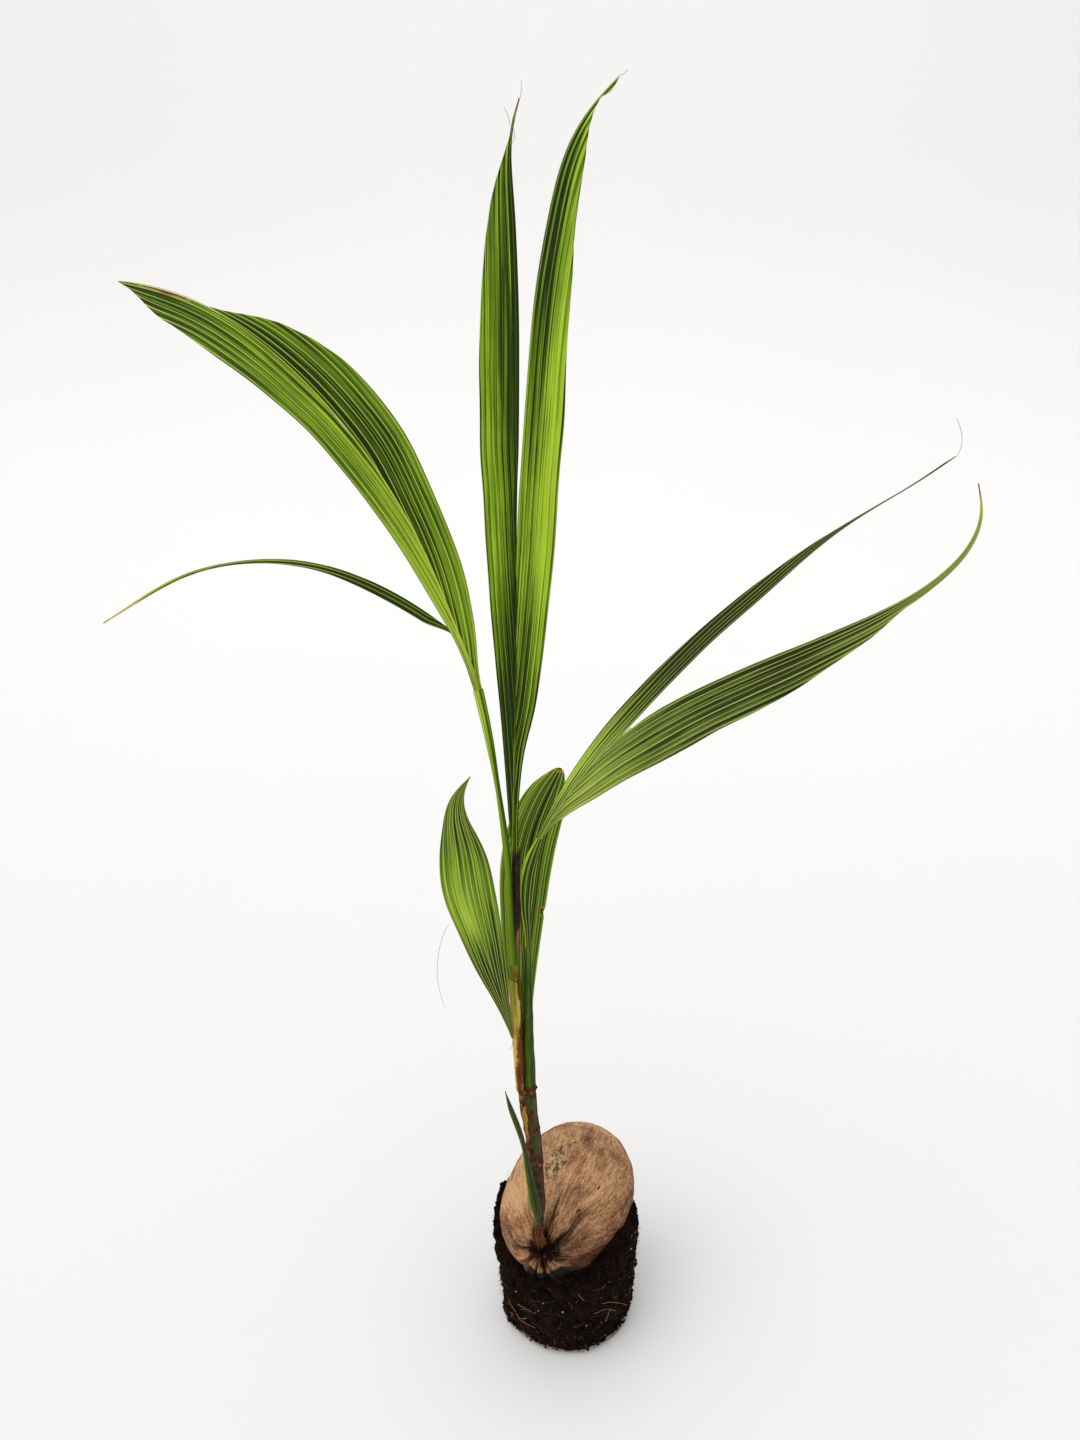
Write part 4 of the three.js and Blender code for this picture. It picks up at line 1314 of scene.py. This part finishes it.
def husk_relief(reach, aim, depth):
    """Height of the husk at reaches and aims round its eye, and its two marks"""
    ball = round_eye(reach, aim)
    reach = reach * NUT_SIZE / MM + 0 * aim
    aim = aim + 0.2 * np.sin(reach / 35) + 0.12 * cloud(ball, 0.3, 4)

    def wheel(count, length):
        return joined(np.cos(aim) * count, np.sin(aim) * count, reach / length)

    close = soft(reach, 8, 20) * (1 - soft(reach, 50, 105))
    pleats = cloud(wheel(2.2, 70), 1.0, 12)
    folds = crease(wheel(3, 100), 1.0, 0.45, 2)
    wrinkles = crease(wheel(7, 80), 1.0, 0.45, 7)
    cracks = crease(wheel(6, 160), 1.0, 0.06, 22) * soft(cloud(ball, 0.25, 31), -0.1, 0.4)
    cracks = cracks * soft(reach, 13, 20) * (1 - soft(reach, 45, 75))
    rings = crease(wheel(1, 13), 1.0, 0.3, 6) * near(reach, 28, 13) * near(aim, 1.6, 0.9)
    frayed = reach * (1 + 0.3 * cloud(wheel(1.5, 40), 1.0, 3))
    cleft = near(np.cos(aim), -1, 0.02) * near(reach, 20, 12)
    cheeks = near(reach, 30, 16) * (near(np.cos(aim - 2.2), 1, 0.2)
                                    + near(np.cos(aim + 2.3), 1, 0.2))
    scar = near(np.linalg.norm((ball - NUT_SCAR) * (1.3, 0.65, 1), axis=-1), 0, 0.26)
    scar = soft(scar + 0.35 * cloud(ball, 0.1, 5), 0.25, 0.85)
    height = (-depth * (0.8 * folds + 0.5 * (wrinkles + cracks + rings)) * close
              + 0.003 * cheeks + 0.007 * pleats * close - 0.015 * near(frayed, 0, 13)
              - 0.005 * cleft + 0.0006 * layers(ball * (1, 0.3, 1), 0.09, 3, 3)
              + 0.0009 * layers(ball, 0.35, 3, 8) + scar * 0.0013 * layers(ball, 0.05, 2, 6))
    # Darkness of the creases: partly the husk's own cracks and fibre, partly painted shade in the
    # folds, wrinkles, rings, cleft and frayed pit and round the eye; the spots below are dark pits
    dark = (0.4 * folds + 0.32 * wrinkles + 0.35 * rings) * close + 0.95 * cracks
    dark = dark + 2.4 * near(frayed, 0, 14.5) + 0.6 * cleft + 0.12 * near(reach, 22, 20)
    for spot, size in NUT_SPOTS:
        away = np.linalg.norm((ball - unit(np.array(spot))) * (1, 0.6, 1), axis=-1)
        away = away * NUT_SIZE / MM * (1 + 0.4 * cloud(ball, 0.02, 40))
        dark = dark + near(away, 0, size / 2)
    patchy = soft(cloud(ball, 0.16, 15), -0.2, 0.5)
    orange = near(reach, 18, 5) * patchy * soft(-np.cos(aim), -0.7, 0.3)
    # Painted shadow on the underside below the eye
    underside_shadow = soft(reach + 8 * cloud(ball, 0.2, 9), 24, 38) * (1 - soft(reach, 60, 80))
    underside_shadow = 1.2 * underside_shadow * near(np.cos(aim), -1, 0.3)
    marks = joined(np.clip(dark, 0, 1.2) - orange * (1 - np.clip(dark, 0, 1)), scar - underside_shadow)
    return height, marks


def coir_on_husk(skin, count, depth, chance):
    """Strings that wander over the husk from its frayed eye, darker near it"""
    share = np.linspace(0, 1, COIR_POINTS)
    for _ in range(count):
        aim, begin = chance.uniform(-math.pi, math.pi), chance.uniform(7, 14)
        heading = aim + chance.normal(0, 0.6) + chance.normal(0, 1.2) * share
        stride = chance.uniform(6, 15) / (COIR_POINTS - 1)
        ahead = begin * math.cos(aim) + np.cumsum(stride * np.cos(heading))
        aside = begin * math.sin(aim) + np.cumsum(stride * np.sin(heading))
        reach, bent = np.hypot(ahead, aside) * MM / NUT_SIZE, np.arctan2(aside, ahead)
        lift = chance.uniform(0.0004, 0.004) * np.sin(np.pi * share) + 0.0006
        height, _ = husk_relief(reach, bent, depth)
        string(skin, on_nut(round_eye(reach, bent), np.maximum(height, -0.007) + lift),
               chance.uniform(*COIR_RADIUS) * MM, 4, int(chance.random() < 1.9 - 0.1 * begin),
               thin=4)


def coir_on_sprout(skin, count, chance):
    """Strings that run up the sprout where it leaves the husk"""
    share = np.linspace(0, 1, COIR_POINTS)
    sprout = stem_paths()["lower"]
    for _ in range(count):
        turn, top = chance.uniform(0, 2 * np.pi), chance.uniform(0.13, 0.25)
        along = top - (top - 0.09) * share
        place, _, right, back = sprout.at(along * sprout.length)
        away = (station(LOWER_STEM["across"], along) * MM + 0.0004
                + chance.uniform(0, 0.005) * share**2)[:, None]
        around = right * np.cos(turn) + back * np.sin(turn)
        string(skin, place + around * away, chance.uniform(*COIR_RADIUS) * MM, 4,
               int(chance.random() < 0.5), thin=4)


class PALM_OT_nut(bpy.types.Operator):
    """Build the husked nut, its creases and the frayed fibres round the sprout"""

    bl_idname = "palm.nut"
    bl_label = "Husked nut"

    def execute(self, context):
        nut = context.scene.palm_nut
        rows, columns = NUT_GRID
        reach = np.pi * np.linspace(0, 1, rows + 1)[:, None]**NUT_FOCUS
        aim = np.linspace(-np.pi, np.pi, columns + 1)[None]
        height, marks = husk_relief(reach, aim, nut.creases)
        points = on_nut(round_eye(reach, aim), height)
        points[:, -1] = points[:, 0]
        points[[0, -1]] = points[[0, -1], :1]
        skin = Skin()
        skin.grid(points, joined(aim / (2 * np.pi), reach / np.pi), marks)
        skin.piece("husked_nut", [husk_finish("dry husk", nut)], "husk", "coconut_husk")

        chance = np.random.default_rng(5)
        coir = plain_finish("coir", nut.coir, 0.9)
        dark = plain_finish("dark coir", tint(44, 26, 18), 0.95, 0.05)
        skin = Skin()
        coir_on_husk(skin, nut.strings, nut.creases, chance)
        coir_on_sprout(skin, nut.strings, chance)
        skin.piece("coir_fibres", [coir, dark], "husk")
        return {"FINISHED"}


def rim_height(azimuth):
    """Height of the soil's edge at degrees round from the front, counted to the right"""
    first, last = RIM_SPAN
    return station(RIM_HEIGHTS, (azimuth - first) / (last - first)) * MM


def plug_radius(radius, azimuth, rise):
    """Radius of the root ball's side, with its waves, its left bulge and its pinched right rim"""
    angle = np.radians(azimuth)
    waves = np.sin(5 * angle + rise / MM / 17) + np.sin(9 * angle - rise / MM / 11)
    bulge = 5.5 * near(azimuth, -95, 34) * near(rise, 112 * MM, 27 * MM)
    pinch = 4 * near(azimuth, 92, 35) * near(rise, 136 * MM, 25 * MM)
    return radius + (ROOT_BALL["unevenness"] / 2 * waves + bulge - pinch) * MM


def on_plug(azimuth, rise, out=0.0):
    """Places on the root ball's side at degrees and heights, some way out from it"""
    azimuth, rise = np.asarray(azimuth, float), np.asarray(rise, float)
    share = rise / (ROOT_BALL["height"] * MM)
    radius = (ROOT_BALL["foot"] + (ROOT_BALL["top"] - ROOT_BALL["foot"]) * share) * MM
    radius = radius - 0.004 * (1 - soft(rise, 0, 0.012))
    radius = plug_radius(radius, azimuth, rise) + out
    angle = np.radians(azimuth)
    return joined(radius * np.sin(angle), -radius * np.cos(angle), rise)


def soil_surface():
    """Lumpy closed surface of the root ball, and how far along its profile each point is"""
    top, foot, height, bend = (ROOT_BALL[key] for key in ("top", "foot", "height", "round"))
    corner = [((1 - f) ** 2 * (foot - bend) + 2 * f * (1 - f) * (foot - bend / 4) + f**2 * foot,
               f**2 * bend) for f in np.linspace(0, 1, 9)]
    profile = [(0, 0), *corner, (top, height - 5), (top - 6, height), (0, height - 4)]
    profile = np.array(profile, float)
    steps = np.concatenate([[0], np.cumsum(np.hypot(*np.diff(profile, axis=0).T))])
    rows, columns = PLUG_GRID
    spots = np.linspace(0, steps[-1], rows + 1)
    radius, rise = (np.interp(spots, steps, one)[:, None] * MM for one in profile.T)
    azimuth = np.linspace(180, -180, columns + 1)[None]
    on_side = (rise > 0.001) & (radius > 0.001)
    radius_there = np.where(on_side, plug_radius(radius, azimuth, rise), radius)
    low, full = RIM_FOOT * MM, height * MM
    lowered = low + (rise - low) * (rim_height(azimuth) - low) / (full - low)
    rise = np.where(rise > low, lowered, rise)
    angle = np.radians(azimuth)
    points = joined(radius_there * np.sin(angle), -radius_there * np.cos(angle), rise)
    outward = joined(np.sin(angle), -np.cos(angle), 0 * rise)
    lumps = 0.0022 * layers(points, 0.016, 2, 1) + 0.0026 * layers(points, 0.006, 3, 4)
    lumps = lumps - 0.0028 * crease(points, 0.012, 0.16, 8)
    out_there = soft(radius, 0.05, 0.07)
    points += outward * (lumps * soft(rise, 0.0, 0.01) * out_there)[..., None]
    points[..., 2] += 0.0026 * layers(points, 0.01, 3, 2) * soft(rise, 0.085, 0.1) * out_there
    points[..., 2] = np.maximum(points[..., 2], 0)
    points[:, -1] = points[:, 0]
    return points, joined(azimuth / 360, spots[:, None] * MM)


def scattered(skin, azimuths, shares, sizes, out, chance):
    """Lumps over the root ball's side, at shares of the height of its edge"""
    places = on_plug(azimuths, shares * rim_height(azimuths), out)
    places[:, 2] = np.maximum(places[:, 2], sizes * 1.2)
    clods(skin, places, sizes, chance)


def crumbs(skin, count, chance):
    """Loose crumbs on the side and the edge, and the heaps on its left and right rim"""
    azimuths = chance.uniform(-180, 180, count)
    shares = np.where(chance.random(count) < 0.35, chance.uniform(0.9, 1.01, count),
                      chance.uniform(0.02, 0.95, count))
    sizes = chance.uniform(0.8, 2.6, count) * MM
    scattered(skin, azimuths, shares, sizes, -0.2 * sizes, chance)
    for azimuth, low, high, number in HEAPS:
        spots = azimuth + chance.normal(0, 4, number)
        sizes = chance.uniform(1.6, 3.4, number) * MM
        sunk = -0.004 + 0.003 * chance.random(number)
        rise = np.linspace(low, high, number) * MM
        clods(skin, on_plug(spots, rise, sunk), sizes, chance)


def side_roots(skin, count, chance):
    """Long roots that show in the photograph, and finer ones all round"""
    share = np.linspace(0, 1, ROOT_POINTS)
    for root in LONG_ROOTS:
        azimuth, rise = (station(one, share) for one in np.transpose(root))
        rise = rise + np.cumsum(chance.normal(0, 0.5, ROOT_POINTS))
        string(skin, on_plug(azimuth, rise * MM, 0.0012), 0.24 * MM, 5, 0, thin=5)
    for number in range(count):
        start = chance.uniform(-180, 180)
        low = number % 3 == 0
        rise = chance.uniform(3, 9) if low else chance.uniform(8, 100)
        drift = np.cumsum(chance.normal(0, 1.1, ROOT_POINTS)) + chance.normal(0, 7) * share
        azimuth = start + chance.uniform(8, 34) * share * chance.choice([-1, 1])
        rise = np.maximum(rise + drift * (0.2 if low else 1), 1)
        out = 0.001 + 0.0006 * np.sin(share * chance.uniform(6, 14))
        string(skin, on_plug(azimuth, rise * MM, out), chance.uniform(0.1, 0.22) * MM, 4,
               1 + int(chance.random() < 0.6), thin=5)


def root_hairs(skin, count, chance):
    """Short hairs that stand off the root ball's side"""
    for _ in range(count):
        azimuth, share = chance.uniform(-180, 180), chance.uniform(0.05, 1)
        foot = on_plug(azimuth, share * rim_height(azimuth), 0.0005)
        tilt = np.degrees(np.arctan2(foot[0], 0.05)) + chance.normal(0, 30, 3)
        growth = Path(foot, chance.uniform(3, 9), tilt, chance.normal(0, 50, 2))
        string(skin, growth.place[::10], chance.uniform(0.08, 0.16) * MM, 3,
               int(chance.integers(3)), thin=4)


class PALM_OT_root_ball(bpy.types.Operator):
    """Build the crumbly root ball with its clods, pale grains and fine roots"""

    bl_idname = "palm.root_ball"
    bl_label = "Root ball"

    def execute(self, context):
        soil = context.scene.palm_soil
        skin = Skin()
        skin.grid(*soil_surface())
        skin.piece("soil_plug", [soil_finish("crumbly soil", soil)], "soil", "root_ball",
                   sharp=80)

        chance = np.random.default_rng(3)
        skin = Skin()
        crumbs(skin, soil.clods, chance)
        loose = plain_finish("loose soil", tint(18, 11, 8), 0.97, 0.05)
        skin.piece("soil_clods", [loose], "soil")

        skin = Skin()
        azimuths = chance.uniform(-180, 180, soil.grains)
        shares = chance.uniform(0.03, 0.9, soil.grains)
        sizes = chance.uniform(0.5, 1.2, soil.grains) * MM
        scattered(skin, azimuths, shares, sizes, 0.0008, chance)
        skin.piece("pale_grains", [plain_finish("pale grain", soil.perlite, 0.9)], "soil")

        skin = Skin()
        side_roots(skin, soil.roots, chance)
        root_hairs(skin, soil.roots * HAIRS_PER_ROOT, chance)
        skin.piece("fine_roots", [
            plain_finish("pale root", soil.root, 0.8),
            plain_finish("brown root", tint(98, 64, 40), 0.85),
            plain_finish("dark root", tint(56, 36, 24), 0.9)], "soil")
        return {"FINISHED"}


class PALM_OT_stage(bpy.types.Operator):
    """Set up the pale floor, the soft lights and the camera"""

    bl_idname = "palm.stage"
    bl_label = "Floor, lights and camera"

    def execute(self, context):
        stage, scene = context.scene.palm_stage, context.scene
        finish = Finish("pale floor")
        colour = finish.coats(scaled(stage.floor, 0.985), (finish.noise(1.3), stage.floor))
        pale = finish.shade(colour, 0.75, 0.5)
        depth = np.linspace(-FLOOR_HALF, FLOOR_HALF, FLOOR_ROWS + 1)[:, None]
        bend = np.clip(depth - FLOOR_EDGE, 0, None)
        curve = np.clip(bend / FLOOR_BEND, 0, math.pi / 2)
        forward = np.minimum(depth, FLOOR_EDGE) + FLOOR_BEND * np.sin(curve)
        rise = FLOOR_BEND * (1 - np.cos(curve))
        rise = rise + np.clip(bend - FLOOR_BEND * math.pi / 2, 0, None)
        across = np.linspace(-FLOOR_HALF, FLOOR_HALF, FLOOR_COLUMNS + 1)[None]
        skin = Skin()
        skin.grid(joined(across, forward, rise), joined(across, depth))
        floor = bpy.data.objects.new("studio_floor", skin.mesh("studio_floor", [pale], 80))
        scene.collection.objects.link(floor)

        world = bpy.data.worlds.new("soft light")
        world.use_nodes = True
        background = world.node_tree.nodes["Background"]
        background.inputs["Color"].default_value = (1, 1, 1, 1)
        background.inputs["Strength"].default_value = stage.sky
        scene.world = world

        for name, kind, power, width, place, target in (
                ("soft sun", "SUN", stage.sun, ("angle", math.radians(SUN_WIDTH)), SUN_FROM,
                 (0, 0, 0)),
                ("wall lamp", "AREA", stage.wall, ("size", WALL_LAMP_SIZE), WALL_LAMP_PLACE,
                 WALL_LAMP_TARGET)):
            data = bpy.data.lights.new(name, kind)
            data.energy = power
            setattr(data, *width)
            lamp = bpy.data.objects.new(name, data)
            lamp.location = place
            lamp.visible_camera = False
            x, y, z = np.array(target) - place
            lamp.rotation_euler = (math.atan2(math.hypot(x, y), -z), 0,
                                   math.atan2(y, x) - math.pi / 2)
            scene.collection.objects.link(lamp)

        data = bpy.data.cameras.new("camera")
        data.sensor_width, data.lens = CAMERA_SENSOR, CAMERA_LENS
        data.dof.use_dof = False
        camera = bpy.data.objects.new("camera", data)
        camera.location = CAMERA_PLACE
        camera.rotation_euler = (math.radians(90 - CAMERA_PITCH), 0, 0)
        scene.collection.objects.link(camera)
        scene.camera = camera
        scene.view_settings.view_transform = "Standard"
        return {"FINISHED"}


MAKERS = (
    PALM_OT_stem,
    PALM_OT_sheaths,
    PALM_OT_left_frond,
    PALM_OT_centre_frond,
    PALM_OT_right_frond,
    PALM_OT_low_leaves,
    PALM_OT_nut,
    PALM_OT_root_ball,
    PALM_OT_stage,
)
SETTINGS = {
    "palm_leaf": PalmLeafSettings,
    "palm_stem": PalmStemSettings,
    "palm_nut": PalmNutSettings,
    "palm_soil": PalmSoilSettings,
    "palm_stage": PalmStageSettings,
}


class PALM_PT_panel(bpy.types.Panel):
    """Settings and makers of the palm"""

    bl_label = "Sprouted coconut palm"
    bl_space_type = "VIEW_3D"
    bl_region_type = "UI"
    bl_category = "Palm"

    def draw(self, context):
        layout = self.layout
        for name, group in SETTINGS.items():
            box = layout.box()
            box.label(text=group.__doc__)
            for key in group.__annotations__:
                box.prop(getattr(context.scene, name), key)
        for maker in MAKERS:
            layout.operator(maker.bl_idname)


def register():
    for one in (*SETTINGS.values(), *MAKERS, PALM_PT_panel):
        bpy.utils.register_class(one)
    for name, group in SETTINGS.items():
        setattr(bpy.types.Scene, name, PointerProperty(type=group))


def unregister():
    for name in SETTINGS:
        delattr(bpy.types.Scene, name)
    for one in reversed((*SETTINGS.values(), *MAKERS, PALM_PT_panel)):
        bpy.utils.unregister_class(one)


def main():
    register()
    for maker in MAKERS:
        group, name = maker.bl_idname.split(".")
        getattr(getattr(bpy.ops, group), name)()


if __name__ == "__main__":
    main()
